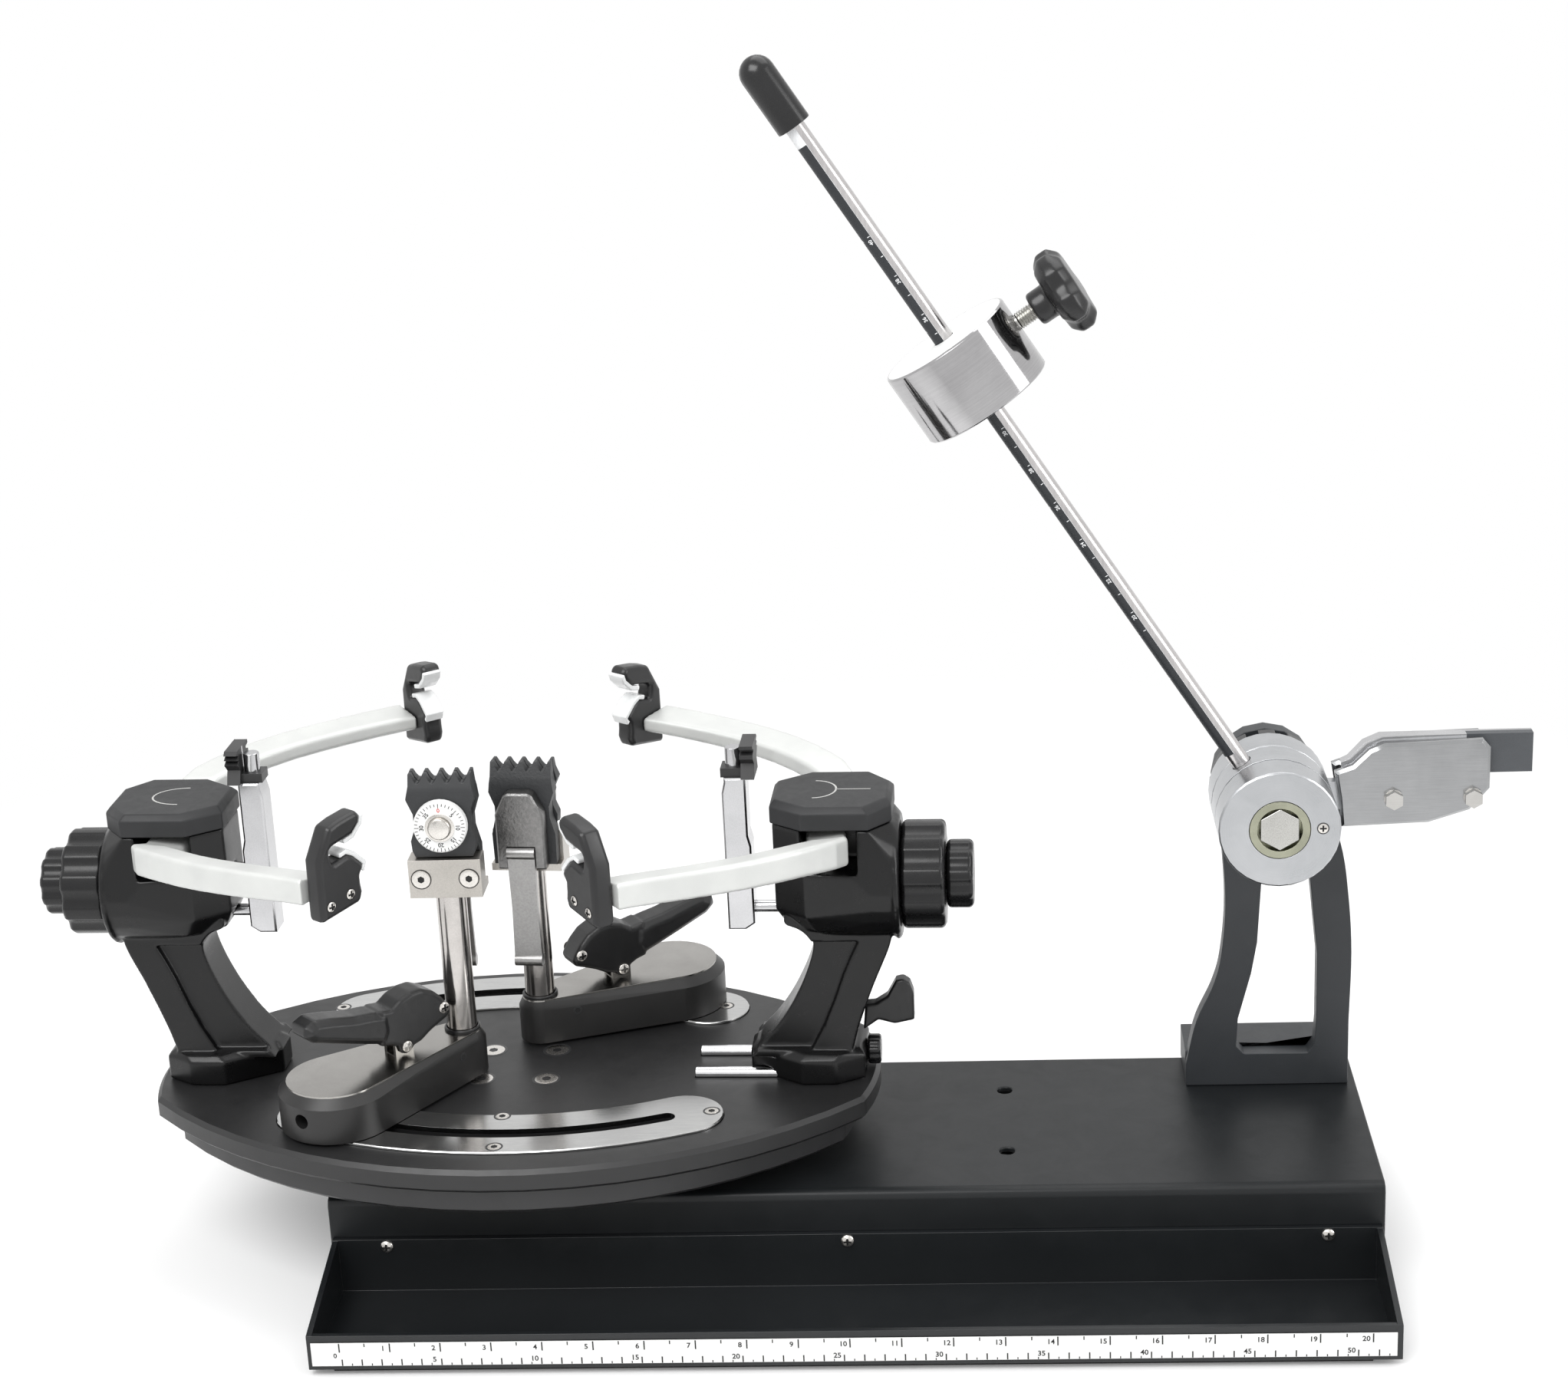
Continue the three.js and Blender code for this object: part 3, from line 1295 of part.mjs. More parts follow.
// The whole machine.
function build() {
  add('base_channel', base_channel(), black, 0.55, 0.3);
  add('tool_tray', tool_tray(), black, 0.55, 0.3);
  add('ruler_scale', box(scale_left, scale_right, -scale_thickness - seat_gap, -seat_gap,
    scale_bottom, scale_top), white, 0.5, 0);
  add('foot_strip_front', foot_strip(foot_inset), rubber, 0.9, 0);
  add('foot_strip_rear', foot_strip(base_back - foot_width), rubber, 0.9, 0);
  add('tension_bracket', tension_bracket(), dark, 0.6, 0.3);
  add('axle_bolt', axle_bolt(), silver, 0.3, 0.9);
  add('front_bearing', front_bearing(), steel, 0.3, 0.9);
  add('rod_drum', rod_drum(), silver, 0.35, 0.9);
  add('gripper_drum', gripper_drum(), silver, 0.35, 0.9);
  add('ratchet_ring', ratchet_ring(), black, 0.5, 0.3);
  add('tension_rod', tension_rod(), steel, 0.2, 1);
  add('rod_cap', rod_cap(), rubber, 0.6, 0);
  add('drop_weight', drop_weight(), silver, 0.08, 1);
  add('weight_knob', weight_knob(), black, 0.4, 0);
  add('gripper_plate_front', gripper_plate(gripper_front).add(gripper_bolt(bolt_near_x))
    .add(gripper_bolt(bolt_far_x)), silver, 0.15, 1);
  add('gripper_plate_rear', gripper_plate(gripper_front + gripper_plate_thickness
    + gripper_jaw_thickness + 2 * seat_gap), silver, 0.15, 1);
  add('gripper_jaw', gripper_jaw(), dark, 0.7, 0);
  add('pivot_housing', pivot_housing(), dark, 0.5, 0.4);
  add('turntable_underplate', turntable_underplate(), dark, 0.6, 0.3);
  add('turntable_plate', turntable_plate(), black, 0.5, 0.4);
  add('glide_plate_front', glide_plate(-1), silver, 0.2, 1);
  add('glide_plate_rear', glide_plate(1), silver, 0.2, 1);
  add('guide_rod_front', guide_rod(-1), steel, 0.2, 1);
  add('guide_rod_rear', guide_rod(1), steel, 0.2, 1);
  for (const side of [-1, 1]) {
    const name = side < 0 ? 'left' : 'right';
    add(`mast_${name}`, mast_body(side), black, 0.35, 0.2);
    add(`mast_cap_${name}`, mast_cap(side), dark, 0.5, 0.1);
    add(`arm_knob_${name}`, mast_knob(side, big_knob_radius, -barrel_out - seat_gap,
      big_knob_length, 0), black, 0.4, 0.1);
    add(`support_knob_${name}`, mast_knob(side, small_knob_radius,
      -barrel_out - big_knob_length - 2 * seat_gap, small_knob_length, 0), black, 0.4, 0.1);
    for (const way of [-1, 1]) {
      const end = way * side * -1 < 0 ? 'front' : 'rear';
      add(`arm_${name}_${end}`, side_arm(side, way), satin, 0.4, 0.6);
      add(`hook_${name}_${end}`, hook(side, way), black, 0.5, 0.1);
    }
    add(`centre_support_${name}`, centre_support(side), silver, 0.15, 1);
  }
  add('lock_lever', lock_lever(), black, 0.4, 0.1);
  add('lock_screw', lock_screw(), dark, 0.3, 0.8);
  for (const number of [1, 2]) {
    add(`clamp_base_${number}`, clamp_base(number), black, 0.5, 0.2);
    add(`cam_lever_${number}`, cam_lever(number), black, 0.5, 0);
    add(`clamp_post_${number}`, clamp_post(number), steel, 0.25, 1);
    add(`jaw_front_${number}`, jaw_front(number), black, 0.6, 0);
    add(`jaw_rear_${number}`, jaw_rear(number), black, 0.6, 0);
    add(`clamp_dial_${number}`, clamp_dial(number), white, 0.4, 0.3);
    add(`head_lever_${number}`, head_lever(number), steel, 0.3, 1);
  }
}

build();
const span = new THREE.Box3().setFromObject(group);
const middle = span.getCenter(new THREE.Vector3());
group.children.forEach((mesh) => mesh.geometry.translate(-middle.x, -middle.y, -span.min.z));

export default group;
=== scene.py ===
"""Looks for the table-top racket stringing machine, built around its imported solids.

Lengths are millimetres in the machine's own frame (X from the zero mark of the tray's
scale, Y away from the tray, Z up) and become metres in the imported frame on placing.
"""

import math

import bmesh
import bpy
from mathutils import Matrix, Vector


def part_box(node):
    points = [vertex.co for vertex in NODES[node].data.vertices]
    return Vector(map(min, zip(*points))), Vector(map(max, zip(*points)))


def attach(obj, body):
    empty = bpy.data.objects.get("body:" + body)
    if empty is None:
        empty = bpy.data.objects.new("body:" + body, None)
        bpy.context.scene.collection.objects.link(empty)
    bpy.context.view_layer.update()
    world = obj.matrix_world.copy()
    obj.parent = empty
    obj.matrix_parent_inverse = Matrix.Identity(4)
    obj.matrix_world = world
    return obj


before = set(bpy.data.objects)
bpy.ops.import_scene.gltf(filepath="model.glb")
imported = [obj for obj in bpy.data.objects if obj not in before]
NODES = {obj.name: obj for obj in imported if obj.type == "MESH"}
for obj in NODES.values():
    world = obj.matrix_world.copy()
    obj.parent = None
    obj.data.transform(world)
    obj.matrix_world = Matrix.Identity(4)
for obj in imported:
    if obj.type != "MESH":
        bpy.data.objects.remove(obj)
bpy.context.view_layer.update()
MM = 0.001

# The machine's own frame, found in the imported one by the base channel.
BASE_LEFT = -19
BASE_BACK = 230
base_low, base_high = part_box("base_channel")
OFFSET = Vector((base_low.x - BASE_LEFT * MM, base_high.y - BASE_BACK * MM, 0))
WORLD = Matrix.Identity(4)

# Places of the pieces that carry details. The string clamps are number 1, near, and 2, far.
TABLE_PIVOT = (73.5, 153.5, 0)
TABLE_TURN = -2
MAST_OUT = 174.5
ROD_ANGLE = 123
ROD_Y = 142.5
DRUM = Vector((472.2, 112, 236.7))
ARC = 216
POST_X = 80
BASE_ROUND = 30
POST_ROUND = 12
CLAMP_TOP = 120.8
SLOT_OUT = {1: 83.5, 2: 92}
CLAMP_SPOT = {1: -22.4, 2: -19.8}
CLAMP_TURN = {1: 46.5, 2: 214.7}
HEAD_TURN = {1: -44.5, 2: -38}
BLOCK_LOW = {1: 201, 2: 197}
BLOCK_HEIGHT = 21
JAW_TOP = {1: 267, 2: 257.5}
EAR_OUT = {1: 39.5, 2: 33}


def turn(degrees, axis):
    return Matrix.Rotation(math.radians(degrees), 4, axis)


def shift(x, y, z):
    return Matrix.Translation((x, y, z))


TABLE = shift(*TABLE_PIVOT) @ turn(TABLE_TURN, "Z")


def mast_frame(side):
    """The foot of the left (-1) or right (1) mast, with X towards the table's middle."""
    spin = turn(180, "Z") if side > 0 else WORLD
    return TABLE @ shift(side * MAST_OUT, 0, 0) @ spin


def clamp_frame(number):
    """The clamp's slot stud, with X along its base towards the post."""
    side = -1 if number == 1 else 1
    at = math.radians(side * 90 + CLAMP_SPOT[number])
    x = ARC * math.cos(at)
    y = side * (SLOT_OUT[number] - ARC) + ARC * math.sin(at)
    return TABLE @ shift(x, y, 0) @ turn(CLAMP_TURN[number], "Z")


def head_frame(number):
    """The clamp's post, with Y from the dial to the head lever."""
    return clamp_frame(number) @ shift(POST_X, 0, 0) @ turn(HEAD_TURN[number], "Z")


def rod_frame():
    """The rod's foot in the drum, with Z along the rod."""
    return shift(DRUM.x, ROD_Y, DRUM.z) @ turn(90 - ROD_ANGLE, "Y")


def to_frame(matrix):
    return Matrix.Translation(OFFSET) @ Matrix.Scale(MM, 4) @ matrix


def spot(x, y, z):
    return Vector((x * MM, y * MM, z * MM)) + OFFSET


# Shader nodes.
def new_material(name):
    """A material with a bare Principled shader: itself, its tree, the shader, coordinates."""
    material = bpy.data.materials.new(name)
    material.use_nodes = True
    tree = material.node_tree
    tree.nodes.clear()
    output = tree.nodes.new("ShaderNodeOutputMaterial")
    shader = tree.nodes.new("ShaderNodeBsdfPrincipled")
    link(tree, shader.outputs[0], output.inputs[0])
    coordinates = tree.nodes.new("ShaderNodeTexCoord")
    return material, tree, shader, coordinates.outputs["Object"]


def link(tree, source, target):
    tree.links.new(source, target)


def plug(tree, socket, value):
    """Sets a socket to a number or colour, or links it to another node's output."""
    if isinstance(value, tuple):
        socket.default_value = (*value, 1)
    elif isinstance(value, (int, float)):
        socket.default_value = value
    else:
        link(tree, value, socket)


def noise(tree, vector, scale, detail=4.0, rough=0.5, distort=0.0):
    node = tree.nodes.new("ShaderNodeTexNoise")
    node.inputs["Scale"].default_value = scale
    node.inputs["Detail"].default_value = detail
    node.inputs["Roughness"].default_value = rough
    node.inputs["Distortion"].default_value = distort
    link(tree, vector, node.inputs["Vector"])
    return node.outputs["Fac"]


def ramp(tree, value, stops):
    """Colours along a value: stops holds pairs of a place from 0 to 1 and a colour."""
    node = tree.nodes.new("ShaderNodeValToRGB")
    elements = node.color_ramp.elements
    while len(elements) < len(stops):
        elements.new(0.5)
    for element, (at, colour) in zip(elements, stops):
        element.position = at
        element.color = (*colour, 1)
    link(tree, value, node.inputs[0])
    return node.outputs[0]


def span(tree, value, from_low, from_high, to_low, to_high):
    node = tree.nodes.new("ShaderNodeMapRange")
    for i, limit in enumerate((from_low, from_high, to_low, to_high)):
        node.inputs[i + 1].default_value = limit
    link(tree, value, node.inputs[0])
    return node.outputs[0]


def math_node(tree, operation, first, second=0):
    node = tree.nodes.new("ShaderNodeMath")
    node.operation = operation
    plug(tree, node.inputs[0], first)
    plug(tree, node.inputs[1], second)
    return node.outputs[0]


def weighed(tree, first, share, second):
    """The two values added, the first by its share and the second by the rest."""
    return math_node(tree, "ADD", math_node(tree, "MULTIPLY", first, share),
                     math_node(tree, "MULTIPLY", second, 1 - share))


def bump(tree, shader, height, strength, distance):
    node = tree.nodes.new("ShaderNodeBump")
    node.inputs["Strength"].default_value = strength
    node.inputs["Distance"].default_value = distance
    link(tree, height, node.inputs["Height"])
    link(tree, node.outputs[0], shader.inputs["Normal"])


def mix_colour(tree, factor, first, second):
    node = tree.nodes.new("ShaderNodeMix")
    node.data_type = "RGBA"
    for socket, value in ((0, factor), (6, first), (7, second)):
        plug(tree, node.inputs[socket], value)
    return node.outputs[2]


def mix_value(tree, factor, first, second):
    node = tree.nodes.new("ShaderNodeMix")
    node.data_type = "FLOAT"
    for socket, value in ((0, factor), (2, first), (3, second)):
        plug(tree, node.inputs[socket], value)
    return node.outputs[0]


def vector_node(tree, operation, vector, other=None):
    node = tree.nodes.new("ShaderNodeVectorMath")
    node.operation = operation
    link(tree, vector, node.inputs[0])
    if other is not None:
        node.inputs[1].default_value = other
    return node.outputs["Vector" if operation == "SUBTRACT" else "Value"]


def turned_vector(tree, vector, centre, axis):
    """Radius and place along an axis, so that a noise of them runs round like tool marks."""
    away = vector_node(tree, "SUBTRACT", vector, centre)
    place = vector_node(tree, "DOT_PRODUCT", away, axis)
    length = vector_node(tree, "LENGTH", away)
    square = math_node(tree, "SUBTRACT", math_node(tree, "POWER", length, 2.0),
                       math_node(tree, "POWER", math_node(tree, "ABSOLUTE", place), 2.0))
    join = tree.nodes.new("ShaderNodeCombineXYZ")
    link(tree, math_node(tree, "SQRT", square), join.inputs[0])
    link(tree, place, join.inputs[1])
    return join.outputs[0]


def stretched(tree, vector, scale, rotation=(0, 0, 0)):
    node = tree.nodes.new("ShaderNodeMapping")
    node.vector_type = "POINT"
    node.inputs["Rotation"].default_value = rotation
    node.inputs["Scale"].default_value = scale
    link(tree, vector, node.inputs["Vector"])
    return node.outputs[0]


# Masks, each a function of the tree and the coordinates. Their edges are this soft, in metres.
MASK_EDGE = 2e-5


def beyond(matrix, axis, value):
    """1 past a plane: value is the plane's place along the frame's axis."""
    placed = to_frame(matrix)
    direction = (placed.to_3x3() @ Vector(axis)).normalized()
    origin = placed @ (Vector(axis) * value)

    def mask(tree, vector):
        away = vector_node(tree, "SUBTRACT", vector, origin)
        past = vector_node(tree, "DOT_PRODUCT", away, direction)
        return span(tree, past, -MASK_EDGE, MASK_EDGE, 0, 1)
    return mask


def above(z):
    return beyond(WORLD, (0, 0, 1), z)


def within(matrix, radius):
    """1 nearer than the radius to the frame's Z axis."""
    placed = to_frame(matrix)
    direction = (placed.to_3x3() @ Vector((0, 0, 1))).normalized()

    def mask(tree, vector):
        split = tree.nodes.new("ShaderNodeSeparateXYZ")
        link(tree, turned_vector(tree, vector, placed.translation, direction), split.inputs[0])
        edge = radius * MM
        return span(tree, split.outputs[0], edge - MASK_EDGE, edge + MASK_EDGE, 1, 0)
    return mask


def both(one, other):
    return lambda tree, vector: math_node(tree, "MULTIPLY", one(tree, vector), other(tree, vector))


# Tool marks, each a function of the tree and the coordinates.
ROD_AXIS = Vector((math.cos(math.radians(ROD_ANGLE)), 0, math.sin(math.radians(ROD_ANGLE))))
DRUM_AT = spot(*DRUM)
ROD_AT = spot(DRUM.x, ROD_Y, DRUM.z)


def about_drum(tree, vector):
    return stretched(tree, turned_vector(tree, vector, DRUM_AT, (0, 1, 0)), (3800, 3800, 1))


def about_rod(tree, vector):
    return stretched(tree, turned_vector(tree, vector, ROD_AT, ROD_AXIS), (2400, 2400, 1))


def along_rod(tree, vector):
    return stretched(tree, vector, (900, 900, 40), (0, math.radians(ROD_ANGLE - 90), 0))


def crossways(tree, vector):
    return stretched(tree, vector, (60, 2600, 2600))


# Kinds of material. A tint is dark where the noise is low and light where it is high.
def tint(tree, tone, dark, light):
    return ramp(tree, tone, [(0.3, dark), (0.7, light)])


def zoned(name, zones, grain=1600, depth=0.00003, strength=0.25, marks=None):
    """One finish for a solid of several materials: mask, dark, light, roughness, metal."""
    material, tree, shader, vector = new_material(name)
    slow = noise(tree, vector, 30, 4, 0.6, 0.3)
    if marks:
        fine = noise(tree, marks(tree, vector), 1.0, 3, 0.6)
    else:
        fine = noise(tree, vector, grain, 4, 0.6)
    tone = weighed(tree, slow, 0.6, fine)
    colour = rough = metallic = None
    for mask, dark, light, zone_rough, zone_metallic in zones:
        zone_colour = tint(tree, tone, dark, light)
        if mask is None:
            colour, rough, metallic = zone_colour, zone_rough, zone_metallic
            continue
        inside = mask(tree, vector)
        colour = mix_colour(tree, inside, colour, zone_colour)
        rough = mix_value(tree, inside, rough, zone_rough)
        metallic = mix_value(tree, inside, metallic, zone_metallic)
    link(tree, colour, shader.inputs["Base Color"])
    drift = span(tree, slow, 0.3, 0.7, -0.04, 0.04)
    link(tree, math_node(tree, "ADD", rough, drift), shader.inputs["Roughness"])
    link(tree, metallic, shader.inputs["Metallic"])
    bump(tree, shader, fine, strength, depth)
    return material


def coated(name, dark, light, rough, grain=2600, grain_depth=0.00004, strength=0.25,
           cloud=18, spread=0.06, metallic=0.0, coat=0.0, specular=0.5):
    """Paint, powder coat or moulded plastic: slow colour drift, fine grain and worn gloss."""
    material, tree, shader, vector = new_material(name)
    slow = noise(tree, vector, cloud, 3, 0.6)
    fine = noise(tree, vector, grain, 5, 0.6)
    smear = noise(tree, vector, cloud * 6, 4, 0.7, 0.6)
    tone = weighed(tree, slow, 0.7, fine)
    link(tree, tint(tree, tone, dark, light), shader.inputs["Base Color"])
    worn = span(tree, smear, 0.3, 0.7, rough - spread, rough + spread)
    link(tree, worn, shader.inputs["Roughness"])
    shader.inputs["Metallic"].default_value = metallic
    shader.inputs["Specular IOR Level"].default_value = specular
    shader.inputs["Coat Weight"].default_value = coat
    shader.inputs["Coat Roughness"].default_value = 0.12
    bump(tree, shader, fine, strength, grain_depth)
    return material


def metal(name, dark, light, rough, marks=None, depth=0.00002, strength=0.25, spread=0.05,
          fleck=900):
    """Metal with fine tool marks that follow the given vector, soft stains and fingerprints."""
    material, tree, shader, vector = new_material(name)
    if marks:
        lines = noise(tree, marks(tree, vector), 1.0, 3, 0.6)
    else:
        lines = noise(tree, vector, fleck, 3, 0.6)
    stain = noise(tree, vector, 45, 4, 0.65, 0.4)
    tone = weighed(tree, lines, 0.55, stain)
    link(tree, tint(tree, tone, dark, light), shader.inputs["Base Color"])
    worn = span(tree, tone, 0.3, 0.7, rough - spread, rough + spread)
    link(tree, worn, shader.inputs["Roughness"])
    shader.inputs["Metallic"].default_value = 1.0
    bump(tree, shader, lines, strength, depth)
    return material


# Painted and moulded finishes.
POWDER = coated("powder_coat_black", (0.0058, 0.0068, 0.0075), (0.0112, 0.0128, 0.0142), 0.4,
                grain=2400, strength=0.35, cloud=9, spread=0.05, specular=0.32)
TRAY = coated("tray_paint_black", (0.0065, 0.0075, 0.0085), (0.012, 0.014, 0.0155), 0.33,
              grain=2000, strength=0.22, cloud=7, spread=0.05)
BRACKET = coated("bracket_paint", (0.018, 0.0205, 0.023), (0.03, 0.033, 0.037), 0.46,
                 grain=1500, strength=0.4, cloud=14, spread=0.05)
TABLE_BLACK = coated("turntable_paint", (0.011, 0.011, 0.0115), (0.019, 0.019, 0.0195), 0.4,
                     grain=2600, strength=0.35, cloud=10, spread=0.05)
UNDER = coated("underplate_paint", (0.016, 0.016, 0.017), (0.027, 0.027, 0.028), 0.38,
               grain=2200, strength=0.3, cloud=12, spread=0.05)
CAST = coated("mast_paint", (0.0018, 0.0018, 0.002), (0.0038, 0.0038, 0.0042), 0.29,
              grain=2600, strength=0.06, cloud=16, spread=0.03, grain_depth=0.00001,
              specular=0.38)
CAP = coated("cap_plastic", (0.017, 0.0175, 0.0185), (0.027, 0.0275, 0.029), 0.48,
             grain=3000, strength=0.4, cloud=20, spread=0.05, specular=0.34)
KNOB = coated("knob_plastic", (0.0046, 0.0046, 0.005), (0.0085, 0.0085, 0.0092), 0.28,
              grain=2600, strength=0.06, cloud=30, spread=0.04, grain_depth=0.00001,
              specular=0.4)
HOOK = coated("hook_plastic", (0.009, 0.009, 0.0096), (0.0155, 0.0155, 0.0162), 0.34,
              grain=1800, strength=0.2, cloud=40, spread=0.05)
LEVER = coated("lever_plastic", (0.0062, 0.0062, 0.0066), (0.012, 0.012, 0.0125), 0.36,
               grain=1300, strength=0.45, cloud=30, spread=0.06)
JAW = coated("jaw_plastic", (0.018, 0.019, 0.0205), (0.029, 0.0305, 0.0325), 0.48,
             grain=1100, strength=0.5, cloud=60, spread=0.06)
RUBBER = coated("rubber", (0.0045, 0.0045, 0.0045), (0.0095, 0.0095, 0.0095), 0.75,
                grain=900, strength=0.5, cloud=30, spread=0.08)
VINYL = coated("vinyl_cap", (0.0048, 0.0048, 0.0052), (0.0095, 0.0095, 0.0102), 0.24,
               grain=500, strength=0.2, cloud=60, spread=0.06)
ARM = coated("arm_silver_paint", (0.60, 0.61, 0.597), (0.71, 0.72, 0.70), 0.4,
             grain=3200, strength=0.1, cloud=30, spread=0.04, metallic=0.32)
RULER = coated("scale_white", (0.80, 0.80, 0.79), (0.90, 0.90, 0.89), 0.4,
               grain=900, strength=0.05, cloud=12, spread=0.05)
# Black for printed marks, and for the thin rings round some screw heads, which are painted shade.
PRINT_AND_SHADE_BLACK = coated("print_and_shade_black", (0.004, 0.004, 0.004), (0.01, 0.01, 0.01), 0.5,
               grain=1400, strength=0.05, cloud=60)
PRINT_WHITE = coated("print_white", (0.72, 0.73, 0.74), (0.86, 0.87, 0.88), 0.5,
                     grain=1400, strength=0.05, cloud=60)
PRINT_GREY = coated("print_grey", (0.42, 0.42, 0.41), (0.55, 0.55, 0.53), 0.5,
                    grain=1400, strength=0.05, cloud=60)
PRINT_RED = coated("print_red", (0.55, 0.03, 0.02), (0.7, 0.05, 0.03), 0.5,
                   grain=1400, strength=0.05, cloud=60)
STRIP = coated("rod_strip", (0.012, 0.014, 0.017), (0.02, 0.023, 0.027), 0.5,
               grain=1600, strength=0.12, cloud=40)
PAD = coated("clear_pad", (0.72, 0.73, 0.73), (0.86, 0.87, 0.87), 0.22,
             grain=700, strength=0.08, cloud=70, coat=0.4)
# Near-black for the walls and floors of the holes in screw heads: painted shade.
PAINTED_RECESS_SHADE = coated("recess_shade", (0.006, 0.006, 0.006), (0.014, 0.014, 0.014), 0.7,
                grain=1500, strength=0.1, cloud=60)
# Dark grey for the black set screws, and for the rings round screw heads and hub screws, which are
# painted shade.
DARK_STEEL_AND_SHADE = coated("dark_steel_and_shade", (0.02, 0.02, 0.0205), (0.036, 0.036, 0.037), 0.36,
                   grain=1800, strength=0.3, cloud=40)

# Bare metals.
DRUM_METAL = metal("drum_turned_aluminium", (0.40, 0.41, 0.423), (0.54, 0.55, 0.563), 0.3,
                   about_drum)
ROD_METAL = metal("rod_steel", (0.46, 0.445, 0.445), (0.66, 0.64, 0.635), 0.18,
                  along_rod, depth=0.000005, strength=0.1, spread=0.03)
PLATE_METAL = metal("gripper_polished", (0.295, 0.30, 0.305), (0.40, 0.405, 0.41), 0.16,
                    crossways, depth=0.00001, strength=0.12, spread=0.04)
GLIDE_METAL = metal("glide_stainless", (0.47, 0.47, 0.47), (0.63, 0.63, 0.62), 0.17,
                    crossways, depth=0.00001, strength=0.16, spread=0.04)
SATIN_STEEL = metal("lever_satin_steel", (0.27, 0.265, 0.26), (0.42, 0.415, 0.41), 0.33,
                    strength=0.15)
CHROME = metal("chrome", (0.66, 0.66, 0.67), (0.84, 0.84, 0.85), 0.1,
               depth=0.000005, strength=0.1, fleck=300, spread=0.03)
SCREW = metal("screw_nickel", (0.60, 0.575, 0.54), (0.80, 0.775, 0.74), 0.27,
              strength=0.2, fleck=1800)
ZINC = metal("zinc_bolt", (0.40, 0.395, 0.375), (0.58, 0.575, 0.55), 0.26,
             depth=0.00003, strength=0.3, fleck=1500)
BEARING = metal("bearing_zinc", (0.24, 0.245, 0.185), (0.46, 0.465, 0.36), 0.2, about_drum)

# Tones of the zoned finishes: dark, light, roughness and share of metal.
BLACK_PLASTIC = ((0.012, 0.012, 0.0125), (0.021, 0.021, 0.0215), 0.42, 0)
BRIGHT = ((0.44, 0.44, 0.45), (0.62, 0.62, 0.63), 0.17, 1)
STAINLESS = ((0.30, 0.29, 0.275), (0.43, 0.42, 0.40), 0.22, 1)
NICKELLED = ((0.40, 0.38, 0.35), (0.60, 0.575, 0.54), 0.32, 1)
DARK_GREY = ((0.05, 0.054, 0.06), (0.08, 0.086, 0.094), 0.5, 0)
FLAT_WHITE = ((0.78, 0.79, 0.78), (0.88, 0.89, 0.88), 0.45, 0)
STUD_STEEL = ((0.36, 0.355, 0.34), (0.56, 0.55, 0.53), 0.24, 1)
HAMMERED_GREY = ((0.13, 0.13, 0.13), (0.30, 0.295, 0.29), 0.34, 1)
CLAMP_BLACK = ((0.012, 0.0118, 0.0118), (0.022, 0.0212, 0.0208), 0.42, 0)
POST_STEEL = ((0.42, 0.40, 0.385), (0.68, 0.65, 0.625), 0.16, 1)
JAW_GREY = ((0.018, 0.019, 0.0205), (0.029, 0.0305, 0.0325), 0.48, 0)
DIAL_WHITE = ((0.80, 0.80, 0.79), (0.90, 0.90, 0.89), 0.38, 0)
WEIGHT_CHROME = ((0.37, 0.365, 0.37), (0.505, 0.50, 0.505), 0.1, 1)
KNOB_BLACK = ((0.0046, 0.0046, 0.005), (0.0085, 0.0085, 0.0092), 0.26, 0)
LINING_BLACK = ((0.012, 0.012, 0.013), (0.02, 0.02, 0.021), 0.5, 0)
PLATE_POLISHED = ((0.295, 0.30, 0.305), (0.40, 0.405, 0.41), 0.16, 1)
BOLT_STEEL = ((0.46, 0.45, 0.43), (0.60, 0.59, 0.57), 0.3, 1)

# Where a solid's material changes, in the frame that its mask uses below.
SUPPORT_OUT = {-1: 44.5, 1: 49.5}
SUPPORT_BLACK_LOW = 260.2
SUPPORT_SCREW_LOW = 265.2
SUPPORT_SCREW_RADIUS = 4.6
TOP_PLATE_LOW = CLAMP_TOP + 0.12
JAW_BACKING_AT = 8.9
DIAL_RIM_AT = 14.75
WEIGHT_DISC_AT = 294.6
WEIGHT_DISC_RADIUS = 32.6
KNOB_HUB_AT = 43.6
JAW_BODY_RIGHT = 571
LINING_LOW = 237
JAW_BAR_AT = 156.2
JAW_BACK_AT = 164.2
PLATE_BOLTS_AT = 152.9

# Rounding of the moulded solids: the grain of the remesh and the rounds of smoothing.
MAST_FORM = (0.7, 11)
ARM_FORM = (0.7, 12)
CAM_LEVER_FORM = (0.55, 12)
LOCK_LEVER_FORM = (0.5, 8)
KNOB_FORM = (0.6, 34)

# The finish of each solid: its material, and how far its edges are rounded or its form.
FINISH = {
    "base_channel": (POWDER, 1.2), "tool_tray": (TRAY, 0.7), "tension_bracket": (BRACKET, 0.8),
    "foot_strip_front": (RUBBER, 0.5), "foot_strip_rear": (RUBBER, 0.5),
    "ruler_scale": (RULER, 0.1), "axle_bolt": (ZINC, 0.5), "front_bearing": (BEARING, 0.5),
    "rod_drum": (DRUM_METAL, 0.35), "gripper_drum": (DRUM_METAL, 0.35),
    "ratchet_ring": (HOOK, 0.6), "tension_rod": (ROD_METAL, 0.3), "rod_cap": (VINYL, 0.5),
    "gripper_plate_rear": (PLATE_METAL, 0.35), "pivot_housing": (UNDER, 0.6),
    "turntable_underplate": (UNDER, 0.8), "turntable_plate": (TABLE_BLACK, 0.6),
    "glide_plate_front": (GLIDE_METAL, 0.25), "glide_plate_rear": (GLIDE_METAL, 0.25),
    "guide_rod_front": (CHROME, 0.4), "guide_rod_rear": (CHROME, 0.4),
    "lock_lever": (LEVER, LOCK_LEVER_FORM), "lock_screw": (KNOB, 0.6),
}


def zoned_finish(name, rounding, zones, **surface):
    FINISH[name] = (zoned(name, zones, **surface), rounding)


